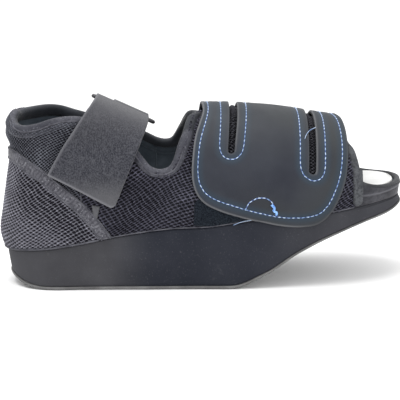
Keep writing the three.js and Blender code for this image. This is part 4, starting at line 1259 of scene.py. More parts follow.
def collar_seats(side):
    """Way, girth up and band of the collar roll's middle line, from the heel to the top of the throat."""
    x = place_of(COLLAR["along"])
    heights = COLLAR["near" if side == NEAR else "far"] * COLLAR_HEIGHT - COLLAR["band"] * COLLAR_ROLL[1] / 2
    heel_height = HEEL_COLLAR_SHARE * COLLAR_HEIGHT - COLLAR["band"][0] * COLLAR_ROLL[1] / 2
    throat_x = place_of(THROAT["along"])
    way = np.concatenate([[0], upper_skin.way_at(x), upper_skin.way_at(throat_x)])
    up = np.concatenate([
        [upper_skin.up_at(np.array([HEEL_TIP]), np.array([heel_height]))[0]],
        upper_skin.up_at(x, heights),
        up_across(throat_x, THROAT["across"]),
    ])
    band = np.concatenate([[COLLAR["band"][0]], COLLAR["band"], THROAT["band"]])
    return way, up, band, np.ones_like(band)


def toe_seats():
    """Way and girth up of the toe roll's middle line, from the toe tip to the top of the vamp."""
    x = place_of(TOE_RIM["along"])
    top_x = place_of(VAMP_TOP["along"])
    way = np.concatenate([upper_skin.way_at(x), upper_skin.way_at(top_x)])
    up = np.concatenate([upper_skin.up_at(x, edge_height(x) + TOE_RIM["up"] * TOE_RIM_HEIGHT),
                         up_across(top_x, VAMP_TOP["across"])])
    ones = np.ones(len(top_x))
    return way, up, np.concatenate([TOE_RIM["band"], ones]), np.concatenate([TOE_RIM["thick"], ones])


def make_roll(name, node, seats_near, seats_far, size, steps, finish):
    """Padded roll round an opening. Seats are way, girth up, band and thickness share along each side."""
    rows = []
    for side, (way, up, band, thick) in ((NEAR, seats_near), (FAR, seats_far)):
        point = upper_skin.at(way, up, side, -WALL_THICKNESS / 2)
        lean = upper_skin.at(way, up, side, -WALL_THICKNESS / 2 + 1) - point
        rows.append(np.column_stack([point, lean, band, thick]))
    loop = around(*rows)
    count = len(loop)
    u = np.arange(steps) / steps * count
    k, t = np.floor(u).astype(int), (u % 1)[:, None]
    a, b, c, d = (loop[(k + shift) % count] for shift in (-1, 0, 1, 2))
    line = 0.5 * (2 * b + (c - a) * t + (2 * a - 5 * b + 4 * c - d) * t**2 + (3 * b - a - 3 * c + d) * t**3)
    line = tidy_loop(line, way_along(line[:, :3])[-1] / steps)
    centre, outward, band, thickness = line[:, :3], line[:, 3:6], line[:, 6:7], line[:, 7:8]
    tangent = heading(centre)
    outward = square_to(tangent, outward)
    along = np.cross(tangent, outward)
    angle = 2 * np.pi * (np.arange(ROLL_SIDES) + 0.5) / ROLL_SIDES
    way = way_along(centre)
    short, slow, fine = PUCKER_WAVES
    pucker = 1 + PUCKER * np.sin(way / short + 1.3 * np.sin(way / slow)) + PUCKER * np.sin(way / fine + 2)
    thick, wide = size[0] / 2 * thickness * pucker[:, None], size[1] / 2 * band
    squared_cos = np.sign(np.cos(angle)) * np.abs(np.cos(angle)) ** ROLL_SQUARENESS
    squared_sin = np.sign(np.sin(angle)) * np.abs(np.sin(angle)) ** ROLL_SQUARENESS
    points = (centre[:, None] + outward[:, None] * (thick * squared_cos)[..., None]
              + along[:, None] * (wide * squared_sin)[..., None])
    chart = np.stack(np.broadcast_arrays(way[:, None], angle[None] * size[1] / 2), -1).reshape(-1, 2)
    faces = grid_faces(len(line), ROLL_SIDES, wrap_rows=True, wrap_columns=True)
    # The outer value follows the roll's facing, so the inward face takes the dark tone; by the throat it is
    # lowered to paint shade.
    throat_in_shade = smooth_step(*THROAT_SHADE, centre[:, 2]) * (centre[:, 0] > THROAT_REAR)
    outer = (np.cos(angle)[None] - SHADE_AMOUNT * throat_in_shade[:, None]).ravel()
    forward = np.broadcast_to(centre[:, :1] / place_of(1), (len(line), ROLL_SIDES)).ravel()
    piece = make_piece(name, points.reshape(-1, 3), faces, finish, [node], chart,
                       {"outer": outer, "forward": forward})


def rim_up(side):
    """Girth up of the wall's upper border as a function of the way, and the ways where the roof is closed."""
    way, up, _, _ = collar_seats(side)
    toe_way, toe_up, _, _ = toe_seats()
    top = upper_skin.way_at(place_of(THROAT["along"][-1]))
    front = upper_skin.way_at(place_of(VAMP_TOP["along"][-1]))
    order = np.argsort(toe_way)
    toe_way, toe_up = toe_way[order], toe_up[order]

    def at(places):
        back = np.interp(places, way, up)
        ahead = np.interp(places, toe_way, toe_up)
        full = upper_skin.full_at(places)
        return np.where(places < top, back, np.where(places <= front, full, ahead))

    return at, top, front


def make_upper():
    """The wall: an outer face in dark cloth and an inner face in lining cloth, closed along its borders."""
    points, faces, base, levels = [], [], 0, WALL_LEVELS
    for side in (NEAR, FAR):
        rim, top, front = rim_up(side)
        way_total = upper_skin.way[-1]
        collar_way = collar_seats(side)[0]
        marks = np.concatenate([np.linspace(0, way_total, 150), collar_way, [top, front], toe_seats()[0],
                                np.linspace(collar_way[12], top, 40), np.linspace(front, front + 22, 30)])
        ways = np.unique(np.round(marks, 3))
        border = rim(ways)
        share = np.linspace(0, 1, levels)
        up = SEAT_GAP + (border[:, None] - SEAT_GAP) * share[None]
        for lift in (0.0, -WALL_THICKNESS):
            points.append(upper_skin.at(ways[:, None], up, side, lift).reshape(-1, 3))
        count = len(ways) * levels
        grid = grid_faces(len(ways), levels)
        faces.extend((grid + base).tolist())
        faces.extend((grid[:, ::-1] + base + count).tolist())
        for column in (0, levels - 1):
            for i in range(len(ways) - 1):
                a, b = base + i * levels + column, base + (i + 1) * levels + column
                middle = (ways[i] + ways[i + 1]) / 2
                if column and top < middle < front:
                    continue
                faces.append([a, b, b + count, a + count])
        base += 2 * count
    return make_piece("upper_wall", np.concatenate(points), faces, [BACKING, INSIDE], ["upper"])


def paint_inside(piece):
    """Gives the lining finish to the faces that look into the shoe."""
    mesh = piece.data
    index = np.zeros(len(mesh.polygons), np.int32)
    for face in mesh.polygons:
        middle, normal = face.center / METRE, face.normal
        heart_x = np.clip(middle.x, HEEL_TIP + HEART_MARGIN, place_of(1) - HEART_MARGIN)
        heart = Vector((heart_x, 0, min(middle.z, HEART_HEIGHT)))
        index[face.index] = 1 if normal.dot(heart - middle) > 0 else 0
    mesh.polygons.foreach_set("material_index", index)


paint_inside(make_upper())
make_roll("collar_roll", "collar_lining", collar_seats(NEAR), collar_seats(FAR), COLLAR_ROLL, 520, LINING)
make_roll("toe_roll", "toe_binding", toe_seats(), toe_seats(), TOE_ROLL, 360, TOE_LINING)


# Low toe wall: a smooth cover with a fold, and the lower ends of the vamp's front band on it

# Fold: places, its height there as a share of the wall's, its form as millimetres and shares, and the
# strength of the painted highlight along its ridge.
FOLD_PLACES = (104, 111, 121.5, 135, 144)
FOLD_SHARES = (0.45, 0.49, 0.61, 0.81, 0.84)
FOLD_WIDTH = 0.7
FOLD_RISE = 0.45
FOLD_STEP = 0.4
FOLD_HIGHLIGHT = 0.7
TROUGH_DEPTH = 0.25
TROUGH_DROP = 1.4
TROUGH_WIDTH = 0.6
TOE_WALL_START = 104.5
TOE_WALL_LIFT = 0.35
TOE_WALL_FOOT = 0.3
TOE_WALL_ROOM = 0.6
TOE_WALL_TOP = 1.6 * TOE_RIM_HEIGHT

# Band ends: places as shares of the last's length, girths, and the seam inside their edge.
BAND_END_REAR = 0.8608
BAND_END_FRONT = 0.8842
BAND_END_FOOT = 1.2
BAND_END_TOP = 26
BAND_SEAM_RISE = 0.25
BAND_SEAM_INSET = 1.1
BAND_SEAM_WIDTH = 0.4


def on_toe(chart, lift):
    """Points of the upper's skin from the way back from the toe tip, negative on the near side."""
    side = np.where(chart[:, 0] < 0, NEAR, FAR)
    return upper_skin.at(upper_skin.way[-1] - np.abs(chart[:, 0]), chart[:, 1], side, lift)


def make_toe_wall():
    total = upper_skin.way[-1]
    reach = total - upper_skin.way_at(TOE_WALL_START)
    back, share = np.linspace(-reach, reach, 150), np.linspace(0, 1, 26)
    way = total - np.abs(back)
    top = np.minimum(rim_up(NEAR)[0](way) - TOE_WALL_ROOM, TOE_WALL_TOP)
    fold = np.interp(upper_skin.at(way, 0, FAR)[:, 0], FOLD_PLACES, FOLD_SHARES)
    up = TOE_WALL_FOOT + (top[:, None] - TOE_WALL_FOOT) * share[None]
    off_fold = (share[None] - fold[:, None]) * top[:, None]
    ridge = bell(off_fold, FOLD_WIDTH)
    lift = TOE_WALL_LIFT + FOLD_STEP * smooth_step(-0.4, 0.6, off_fold) + FOLD_RISE * ridge
    lift -= TROUGH_DEPTH * bell(off_fold + TROUGH_DROP, TROUGH_WIDTH)
    chart = np.stack([np.broadcast_to(back[:, None], up.shape), up], -1).reshape(-1, 2)
    top, bottom = on_toe(chart, lift.ravel()), on_toe(chart, 0.03)
    # The fold value paints a highlight along the ridge.
    make_sheet("toe_wall", top, bottom, grid_faces(len(back), len(share)), TOE_WALL, (), chart,
               {"fold": FOLD_HIGHLIGHT * ridge.ravel()})


def make_band_ends():
    rear, front = upper_skin.way_at(place_of(np.array([BAND_END_REAR, BAND_END_FRONT])))
    radius = (front - rear) / 2
    angle = np.pi * (1 + np.arange(0, 13) / 12)
    foot_up = BAND_END_FOOT + radius * (1 + np.sin(angle))
    foot = np.stack([(rear + front) / 2 + radius * np.cos(angle), foot_up], -1)
    loop = np.concatenate([foot, [[front, BAND_END_TOP], [rear, BAND_END_TOP]]])
    chart, panel, gap = chart_panel(loop, spacing=1.4, border=0.9, rims=(0.3, 0.7))
    high = rounded_lift(gap, SEAT_GAP, SEAT_GAP + TOE_BAND_THICKNESS, 0.7)
    high = high + BAND_SEAM_RISE * bell(gap - BAND_SEAM_INSET, BAND_SEAM_WIDTH)
    parts = []
    for side in (NEAR, FAR):
        top, bottom = (upper_skin.at(chart[:, 0], chart[:, 1], side, lift) for lift in (high, SEAT_GAP))
        parts.append(thicken(top, bottom, panel)[:2])
    points, faces = joined(parts)
    ones = np.ones(len(points))
    make_piece("band_ends", points, faces, TOE_LINING, (), np.tile(chart, (4, 1)),
               {"outer": ones, "forward": 0.5 * ones})


def rounded_lift(gap, low, high, radius):
    """Upper lift of a sheet whose edges are rounded over a radius."""
    inset = np.minimum(gap, radius)
    return np.maximum(high - radius + np.sqrt(np.maximum(radius**2 - (radius - inset) ** 2, 0)), low + 0.05)


make_toe_wall()
make_band_ends()


# Heel counter and its binding

# Top edge of the binding. Shares: along of the last's length, height of the collar height.
COUNTER = table(
    ("along", "height"),
    (
        (-0.04, 0.785),
        (0.022, 0.774),
        (0.046, 0.755),
        (0.08, 0.714),
        (0.12, 0.661),
        (0.145, 0.61),
        (0.175, 0.552),
        (0.212, 0.475),
        (0.236, 0.413),
        (0.268, 0.311),
        (0.3, 0.19),
    ),
)


# Tape: lifts off the skin and the seam along both its edges. Backing and net lie below it.
TAPE_LIFT = SEAT_GAP + 1.5
TAPE_CROWN = 0.25
TAPE_SEAM_DEPTH = 0.3
TAPE_SEAM_INSET = 2.1
TAPE_SEAM_WIDTH = 0.5
COUNTER_BACK_LIFT = SEAT_GAP + 0.35
COUNTER_FOOT = 0.45
COUNTER_NET_FOOT = 1.1
COUNTER_WEAVE = ((2.75, 2.25), (22, -46), 0.6)
COUNTER_REACH = 80

# How wide the net's holes open, and the distances below the tape and from the heel over which they widen.
HEEL_HOLES = 0.66
STRETCHED_HOLES = 0.46
WIDEN_BELOW, NARROW_BELOW, WIDEN_WAY = (4, 9), (20, 44), (18, 40)

# Piping: radii, and middles off the skin.
TAPE_PIPING = 0.62
TAPE_PIPING_INSET = 0.9
TAPE_PIPING_LIFT = SEAT_GAP + 1.35
SILL_PIPING = 0.7
SILL_PIPING_UP = 0.85
SILL_PIPING_LIFT = SEAT_GAP + 0.9


def counter_line(inset):
    """The counter's slanted edge on one side as way and girth up, moved down by an inset."""
    line = np.stack([place_of(COUNTER["along"]), COUNTER["height"] * COLLAR_HEIGHT], -1)
    fine = curved_loop(line, closed=False, steps=14)
    ahead = heading(fine, closed=False)
    moved = fine + inset * np.stack([ahead[:, 1], -ahead[:, 0]], -1)
    moved = moved[moved[:, 0] > HEEL_TIP + 0.6]
    way = upper_skin.way_at(moved[:, 0])
    up = upper_skin.up_at(moved[:, 0], moved[:, 1])
    keep = up > 0.3
    way, up = way[keep], up[keep]
    heel_height = np.interp(HEEL_TIP, line[:, 0], line[:, 1]) - inset
    heel_up = upper_skin.up_at(np.array([HEEL_TIP]), np.array([heel_height]))[0]
    return np.stack([np.concatenate([[0], way]), np.concatenate([[heel_up], up])], -1)


def outline_both(line):
    """A line from the heel forwards and its mirror as one line of signed ways, near side first."""
    return np.concatenate([line[::-1] * (-1, 1), line[1:]])


def on_upper(chart, lift):
    """Points of the upper's skin from signed ways, negative on the near side."""
    side = np.where(chart[:, 0] < 0, NEAR, FAR)
    return upper_skin.at(np.abs(chart[:, 0]), chart[:, 1], side, lift)


TAPE_MIDDLE = counter_line(BINDING_WIDTH / 2)
TAPE_END_WAY = TAPE_MIDDLE[-1, 0]


def make_binding():
    loop = np.concatenate([outline_both(counter_line(BINDING_WIDTH)), outline_both(counter_line(0))[::-1]])
    chart, faces, gap = chart_panel(loop, spacing=2.2, border=1.2, rims=(0.35, 0.8, 1.5))
    groove = bell(gap - TAPE_SEAM_INSET, TAPE_SEAM_WIDTH)
    high = rounded_lift(gap, SEAT_GAP, TAPE_LIFT, 0.6) + TAPE_CROWN * smooth_step(2, BINDING_WIDTH / 2, gap)
    high -= TAPE_SEAM_DEPTH * groove
    middle = outline_both(TAPE_MIDDLE)
    nearest = np.array([np.argmin(((middle - p) ** 2).sum(1)) for p in chart])
    ribbon = np.stack([way_along(middle)[nearest], gap], -1)
    make_sheet("counter_tape", on_upper(chart, high), on_upper(chart, SEAT_GAP), faces, TAPE,
               ["counter_binding"], ribbon, {"seam": groove})


def make_counter():
    top = outline_both(counter_line(BINDING_WIDTH + SEAT_GAP))
    base = np.stack([np.linspace(top[0, 0], top[-1, 0], 80), np.full(80, COUNTER_FOOT)], -1)
    chart, faces, gap = chart_panel(np.concatenate([base, top[::-1]]), spacing=3.0, border=1.5, rims=(0.3,))
    high = rounded_lift(gap, SEAT_GAP, COUNTER_BACK_LIFT, 0.3)
    make_sheet("counter_backing", on_upper(chart, high), on_upper(chart, SEAT_GAP), faces, BACKING,
               ["heel_counter"])


def tape_up(way):
    """Girth up of the tape's middle line, and 0 in front of its foot."""
    return np.interp(way, TAPE_MIDDLE[:, 0], TAPE_MIDDLE[:, 1], right=0)


def in_counter(middle):
    return (middle[:, 1] > COUNTER_NET_FOOT) & (middle[:, 1] < tape_up(np.abs(middle[:, 0])))


def counter_holes(middle):
    """Holes open wide where the cloth is stretched below the tape, and nearly close at the heel."""
    below = tape_up(np.abs(middle[:, 0])) - middle[:, 1]
    stretched = smooth_step(*WIDEN_BELOW, below) * (1 - smooth_step(*NARROW_BELOW, below))
    return HEEL_HOLES + STRETCHED_HOLES * stretched * smooth_step(*WIDEN_WAY, np.abs(middle[:, 0]))


def make_counter_piping():
    parts = []
    for inset in (TAPE_PIPING_INSET, BINDING_WIDTH - TAPE_PIPING_INSET):
        line = outline_both(counter_line(inset))
        parts.append(cord_on(on_upper, line, TAPE_PIPING, TAPE_PIPING_LIFT))
    ends = counter_line(BINDING_WIDTH)[-1, 0]
    sill = np.stack([np.linspace(-ends, ends, 90), np.full(90, SILL_PIPING_UP)], -1)
    parts.append(cord_on(on_upper, sill, SILL_PIPING, SILL_PIPING_LIFT))
    make_cords("counter_piping", parts, PIPING)


make_binding()
make_counter()
make_net("counter_net", on_upper, in_counter, (-TAPE_END_WAY, 0), (TAPE_END_WAY, COUNTER_REACH),
         COUNTER_WEAVE, COUNTER_BACK_LIFT, 0.75, COARSE_YARN, counter_holes)
make_counter_piping()


# Instep flap

# Outline in the side view. Shares: along of the last's length, height of the flap height.
FLAP_NEAR = table(
    ("along", "height"),
    (
        (0.501, 0.945),
        (0.491, 0.899),
        (0.48, 0.839),
        (0.4725, 0.75),
        (0.469, 0.642),
        (0.4725, 0.582),
        (0.482, 0.529),
        (0.4995, 0.486),
        (0.526, 0.454),
        (0.573, 0.418),
        (0.6275, 0.385),
        (0.675, 0.359),
        (0.727, 0.3465),
        (0.7645, 0.354),
        (0.787, 0.379),
        (0.806, 0.425),
        (0.83, 0.53),
        (0.84, 0.595),
        (0.846, 0.663),
        (0.85, 0.73),
        (0.851, 0.83),
        (0.849, 0.88),
    ),
)
FLAP_FAR_REAR = table(("along", "height"), ((0.496, 0.84), (0.49, 0.72), (0.486, 0.6), (0.488, 0.42)))
FLAP_FAR_FRONT = table(("along", "height"), ((0.825, 0.47), (0.832, 0.55), (0.845, 0.68), (0.85, 0.83)))
FLAP_REAR_TOP = 0.502
FLAP_FRONT_TOP = 0.844

# Slots over the top. Shares: places of the last's length, foot heights of the flap height.
SLOTS = (
    dict(rear=(0.576, 0.5585), front=(0.5985, 0.574), near_foot=0.745, far_foot=0.89),
    dict(rear=(0.7665, 0.7515), front=(0.7845, 0.769), near_foot=0.63, far_foot=0.82),
)
SLOT_TOP_SHARE = 1.1
FAR_SLOT_REACH = 0.35
SLOT_TOP_ROOM = 0.8

# Stitches: distances of their lines from the edges, and their own sizes.
EDGE_STITCH_INSET = 4
HEM_STITCH_INSET = 6.4
SLOT_STITCH_OUTSET = 6.1
STITCH_PITCH = 3.3
STITCH_LENGTH = 2.3
STITCH_RADIUS = 0.34
STITCH_LIFT = 0.28
SEAM_RADIUS = 0.45
SEAM_LIFT = -0.14
KNOT_RADIUS = 0.9
KNOT_LIFT = 0.5
LOOSE_RADIUS = 0.22
LOOSE_LIFT = 0.35

# Relief: height of the soft waves, then height and width of the seams' trough and of the ridge beside it.
FLAP_WAVE = 0.35
SEAM_TROUGH = (0.35, 1.3)
SEAM_RIDGE = (0.12, 1.2)
SEAM_RIDGE_OUT = 2.6

# Light cut edge: share at the rear, what it loses to the front and over which places; shares at the slots.
# The edge's own tone is lighter; its fall to the front and the stronger front edge of each slot, by which way
# the edges face, are painted light.
LIP_SHARE = 0.6
LIP_LOSS = 0.45
LIP_FADE = (55, 80)
SLOT_LIP_AHEAD = 0.5
SLOT_LIP_BEHIND = 0.12

# Half-moon of stitches over the edge line, and the thick knotted thread at its front: places and heights.
HALF_MOON = ((28.9, 57.9), (31.7, 62.1), (38, 65), (44, 64.2), (48.1, 60.2), (48.9, 55.9))
KNOT = ((46.6, 60.5), (48.6, 58.2), (48, 56.4), (50.2, 55), (49.6, 53.4))
SLOT_THREAD = ((71, 101.6), (72.4, 104), (75.2, 106.4), (79.6, 107.8))


def flap_chart(x, z, side):
    """Way and signed girth down from the roof, negative on the near side, of side-view points."""
    way = flap_skin.way_at(x)
    down = flap_skin.full_at(way) - flap_skin.up_at(x, z)
    return np.stack([way, side * down], -1)


def on_flap(chart, lift):
    side = np.where(chart[:, 1] < 0, NEAR, FAR)
    way = chart[:, 0]
    return flap_skin.at(way, flap_skin.full_at(way) - np.abs(chart[:, 1]), side, lift)


def flap_edge(rows, side):
    return flap_chart(place_of(rows["along"]), rows["height"] * FLAP_HEIGHT, side)


def flap_outline():
    far_front = flap_edge(FLAP_FAR_FRONT, FAR)
    far_rear = flap_edge(FLAP_FAR_REAR, FAR)
    tops = flap_skin.way_at(place_of((FLAP_REAR_TOP, FLAP_FRONT_TOP)))
    line = [far_rear[::-1], [[tops[0], 0]], flap_edge(FLAP_NEAR, NEAR), [[tops[1], 0]], far_front[::-1]]
    hem_x = np.linspace(place_of(FLAP_FAR_FRONT["along"][0]), place_of(FLAP_FAR_REAR["along"][-1]), 30)[1:-1]
    hem = flap_chart(hem_x, edge_height(hem_x) + SEAT_GAP, FAR)
    return np.concatenate([curved_loop(np.concatenate(line), closed=False), hem])


def slot_outline(slot):
    ends = []
    for side, key, reach in ((NEAR, "near_foot", 1), (FAR, "far_foot", FAR_SLOT_REACH)):
        foot = slot[key] * FLAP_HEIGHT
        edges = []
        for top, bottom in (slot["rear"], slot["front"]):
            edges.append((place_of(top), place_of(top + (bottom - top) * reach)))
        radius, centre = (edges[1][1] - edges[0][1]) / 2, (edges[0][1] + edges[1][1]) / 2
        lines = []
        for top, bottom in edges:
            z = np.linspace(foot + radius, flap_roof(top) - SLOT_TOP_ROOM, 24)
            share = (z - foot - radius) / (SLOT_TOP_SHARE * FLAP_HEIGHT - foot - radius)
            lines.append(flap_chart(bottom + (top - bottom) * share, z, side))
        angle = np.pi + np.pi * np.arange(1, 9) / 9
        arc = flap_chart(centre + radius * np.cos(angle), foot + radius + radius * np.sin(angle), side)
        ends.append(np.concatenate([lines[0][::-1], arc, lines[1]]))
    return np.concatenate([ends[0], ends[1][::-1]])


def evened(loop, spacing, times=4):
    """A closed line in even steps, its kinks smoothed away."""
    line = tidy_loop(loop, spacing)
    for _ in range(times):
        line = (np.roll(line, 1, axis=0) + 2 * line + np.roll(line, -1, axis=0)) / 4
    return line


def edge_stitch_line(outline):
    """Line inside the flap's edge, farther in along its lower edges."""
    loop = evened(outline, 3)
    inset = EDGE_STITCH_INSET + (HEM_STITCH_INSET - EDGE_STITCH_INSET) * heading(loop)[:, 0] ** 2
    moved = offset_loop(loop, 1.0) - loop
    return evened(loop + moved * inset[:, None], 1.5, 8)


def drawn_on_flap(places):
    """Smooth line on the flap's near side through places and heights of the side view."""
    return curved_loop(flap_chart(*np.array(places).T, NEAR), closed=False)


flap_loop = flap_outline()
slot_loops = [slot_outline(slot) for slot in SLOTS]
stitch_lines = [edge_stitch_line(flap_loop)]
stitch_lines.extend(evened(offset_loop(evened(loop, 2), -SLOT_STITCH_OUTSET), 1.5) for loop in slot_loops)


def flap_relief(chart):
    """Soft troughs and ridges of the flap, in millimetres of lift. Divisors are wave lengths."""
    way, girth = chart[:, 0], chart[:, 1]
    wave = FLAP_WAVE * np.sin((way + 0.4 * girth) / 11.0) * np.sin(girth / 17.0 + 0.6)
    gap = gap_to(chart, stitch_lines)
    ridge = SEAM_RIDGE[0] * bell(gap - SEAM_RIDGE_OUT, SEAM_RIDGE[1])
    return wave - SEAM_TROUGH[0] * bell(gap, SEAM_TROUGH[1]) + ridge


def make_flap():
    chart, faces, gap = chart_panel(flap_loop, slot_loops, spacing=1.7, border=1.1, rims=(0.3, 0.8, 1.6))
    relief = flap_relief(chart)
    high = rounded_lift(gap, 0, FLAP_STAND_OFF + FLAP_THICKNESS, 0.55) + relief
    # Lip: the lighter cut edge, painted stronger on the flap's rear edges and on each slot's front edge,
    # which face the light: partly the edge's own tone, partly painted light.
    light = LIP_SHARE - LIP_LOSS * smooth_step(*LIP_FADE, chart[:, 0] - upper_skin.way_at(0))
    lip = (1 - smooth_step(0.5, 1.5, distance_to(chart, flap_loop))) * light
    for loop in slot_loops:
        light = np.where(chart[:, 0] > loop[:, 0].mean(), SLOT_LIP_AHEAD, SLOT_LIP_BEHIND)
        lip = np.maximum(lip, (1 - smooth_step(0.4, 1.1, distance_to(chart, loop))) * light)
    top, bottom = on_flap(chart, high), on_flap(chart, FLAP_STAND_OFF + relief)
    make_sheet("flap", top, bottom, faces, [LEATHER, CUT_EDGE], ["instep_flap"], chart,
               {"seam": gap_to(chart, stitch_lines), "lip": lip})


def on_flap_skin(chart, lift):
    """The flap's outer face with its soft relief."""
    return on_flap(chart, FLAP_STAND_OFF + FLAP_THICKNESS + flap_relief(chart) + lift)


def make_flap_threads():
    lines = [(line, True) for line in stitch_lines] + [(drawn_on_flap(HALF_MOON), False)]
    under = [cord_on(on_flap_skin, line, SEAM_RADIUS, SEAM_LIFT, closed) for line, closed in lines]
    over = [stitches_on(on_flap_skin, line, STITCH_PITCH, STITCH_LENGTH, STITCH_RADIUS, STITCH_LIFT, closed)
            for line, closed in lines]
    over.append(cord_on(on_flap_skin, drawn_on_flap(SLOT_THREAD), LOOSE_RADIUS, LOOSE_LIFT))
    knot = cord_on(on_flap_skin, drawn_on_flap(KNOT), KNOT_RADIUS, KNOT_LIFT)
    make_cords("flap_knot", [knot], KNOT_THREAD)
    make_cords("flap_seams", under, THREAD)
    make_cords("flap_stitches", over, PALE_THREAD_AND_HIGHLIGHT)


make_flap()
make_flap_threads()


# Ankle strap, its ring and the ring's tab

# Corners of the strap's outer face in the side view: shares of the last's length and of the collar height.
STRAP_TOP_REAR = (0.24, 1.068)
STRAP_TOP_FRONT = (0.369, 0.932)
STRAP_END_REAR = (0.1201, 0.655)
STRAP_END_FRONT = (0.2774, 0.462)

# Cloth of strap and tab: rounding of the edges, and the raised light line along them.
EDGE_ROUND = 0.5
EDGE_LEAST = 0.02
CUT_SELVAGE = 0.8
SIDE_SELVAGE = 0.45
SELVAGE_RISE = 0.12
SELVAGE_START = 0.3
STRAP_WRINKLE = 0.25
LAYER_SPACING = 1.5

fold_radius = RING_WIRE / 2 + SEAT_GAP + STRAP_THICKNESS / 2
fold_height = 2 * fold_radius + STRAP_THICKNESS


def strap_corner(share):
    return np.array([place_of(share[0]), 0, share[1] * COLLAR_HEIGHT])


strap_top_line = strap_corner(STRAP_TOP_FRONT) - strap_corner(STRAP_TOP_REAR)
strap_up = unit(np.array([-strap_top_line[2], 0, strap_top_line[0]]))
strap_down = unit(np.array([-strap_up[0] - STRAP_LEAN, 0, -strap_up[2]]))
ring_reach = RING_DEPTH * math.cos(math.radians(RING_TILT))
ring_drop = RING_DEPTH * math.sin(math.radians(RING_TILT))


def base_top(across):
    return strap_corner(STRAP_TOP_REAR) + strap_top_line * across[..., None] - strap_up * fold_height


def wall_across(x, z):
    edge = edge_height(x)
    level = np.minimum((z - edge) / (upper_roof(x) - edge), STRAP_WALL_LEVEL)
    return np.abs(skin_point(turn_at_place(x), level, upper_roof)[..., 1])


def arch(depth, full):
    rest = np.maximum(1 - depth / full, 0)
    return np.where(depth >= full, 1, (1 - rest**ARCH_SQUARENESS) ** (1 / ARCH_SQUARENESS))


def strap_end_at(across):
    """End of the strap: a straight cut whose front corner is rounded."""
    rear, front = strap_corner(STRAP_END_REAR), strap_corner(STRAP_END_FRONT)
    end = rear + (front - rear) * across[..., None]
    room = np.maximum(STRAP_CORNER_RADIUS - (1 - across) * np.linalg.norm(front - rear), 0)
    shortening = STRAP_CORNER_RADIUS - np.sqrt(STRAP_CORNER_RADIUS**2 - room**2)
    return end + unit(base_top(across) - end) * shortening[..., None]


def strap_base(down, across):
    end, top = strap_end_at(across), base_top(across)
    point = top + (end - top) * down[..., None]
    point[..., 0] -= STRAP_BOW * 4 * down * (1 - down) * (1 - across)
    depth = down * np.linalg.norm(end - top, axis=-1)
    settled = smooth_step(STRAP_SETTLE_START, STRAP_SETTLE_END, depth)
    rest = STRAP_REST + SEAT_GAP + BINDING_THICKNESS * (1 - across)
    stand_off = STRAP_STAND_OFF * (1 - settled) + rest * settled
    point[..., 1] = -(wall_across(point[..., 0], point[..., 2]) + stand_off) * arch(depth, STRAP_ARCH_DEPTH)
    return point


def tab_base(down, share):
    depth = down * TAB_LENGTH
    across = TAB_START + (1 - TAB_START) * share
    point = base_top(across) + strap_down * depth[..., None]
    point[..., 2] -= ring_drop
    wall = wall_across(point[..., 0], point[..., 2]) + TAB_STAND_OFF
    point[..., 1] = ring_reach + (wall - ring_reach) * arch(depth, TAB_ARCH_DEPTH)
    return point


def base_normal(base, down, across, side):
    step = 0.01
    a, b = np.maximum(down - step, 0), np.maximum(across - step, 0)
    c, d = np.minimum(down + step, 1), np.minimum(across + step, 1)
    lengthwise = base(c, across) - base(a, across)
    crosswise = base(down, d) - base(down, b)
    return unit(np.cross(lengthwise, crosswise) * -side)


def make_folded_band(name, node, base, side, length, steps, across_steps, wrinkle):
    """A band that runs up from its end, round a bar and back down over itself."""
    inner, fold, outer = steps
    across = np.linspace(0, 1, across_steps)
    columns, normals, lengths = [], [], []

    def layer(down, lift):
        amount = np.full_like(across, down)
        normal = base_normal(base, amount, across, side)
        columns.append(base(amount, across) + normal * lift)
        return normal

    flat = STRAP_THICKNESS * 1.5 + STRAP_LAYER_GAP
    for k in range(inner, 0, -1):
        down = (k / inner) ** LAYER_SPACING
        normals.append(-layer(down, STRAP_THICKNESS / 2))
        lengths.append(-down * length)
    axis = base(np.zeros_like(across), across) + strap_up * (STRAP_THICKNESS / 2 + fold_radius)
    for k in range(fold + 1):
        angle = math.pi * k / fold
        outward = -strap_up * math.cos(angle) + np.array([0, -side * math.sin(angle), 0])
        columns.append(axis + outward * fold_radius)
        normals.append(np.tile(outward, (len(across), 1)))
        lengths.append(angle * fold_radius)
    for k in range(1, outer + 1):
        down = (k / outer) ** LAYER_SPACING
        lift = flat + (2 * fold_radius + STRAP_THICKNESS / 2 - flat) * bell(down * length, FOLD_SETTLE)
        wave = np.sin(across * 7 + down * 5) * smooth_step(0.1, 0.4, down) * (1 - smooth_step(0.85, 1, down))
        normals.append(layer(down, (lift + wrinkle * wave)[:, None]))
        lengths.append(math.pi * fold_radius + down * length)
    middle, normal, lengths = np.stack(columns, 1), np.stack(normals, 1), np.array(lengths)
    width = np.linalg.norm(middle[-1, inner] - middle[0, inner])
    side_gap, end_gap = across[:, None] * width, (lengths[-1] - lengths)[None, :]
    border = np.minimum(np.minimum(across, 1 - across)[:, None] * width, end_gap)
    rounding = 1 - (1 - np.clip(border / EDGE_ROUND, 0, 1)) ** 2
    half = STRAP_THICKNESS / 2 * np.sqrt(np.maximum(rounding, EDGE_LEAST))
    selvage = np.maximum(CUT_SELVAGE * (1 - smooth_step(1.2, 2.2, end_gap)),
                         SIDE_SELVAGE * (1 - smooth_step(0.8, 1.6, side_gap)))
    top = middle + normal * (half + SELVAGE_RISE * selvage * (border > SELVAGE_START))[..., None]
    bottom = middle - normal * half[..., None]
    chart = np.stack(np.broadcast_arrays(lengths[None, :], side_gap), -1).reshape(-1, 2)
    piece = make_sheet(name, top.reshape(-1, 3), bottom.reshape(-1, 3), grid_faces(*middle.shape[:2]), FELT,
                       [node], chart, {"selvage": selvage.ravel()})


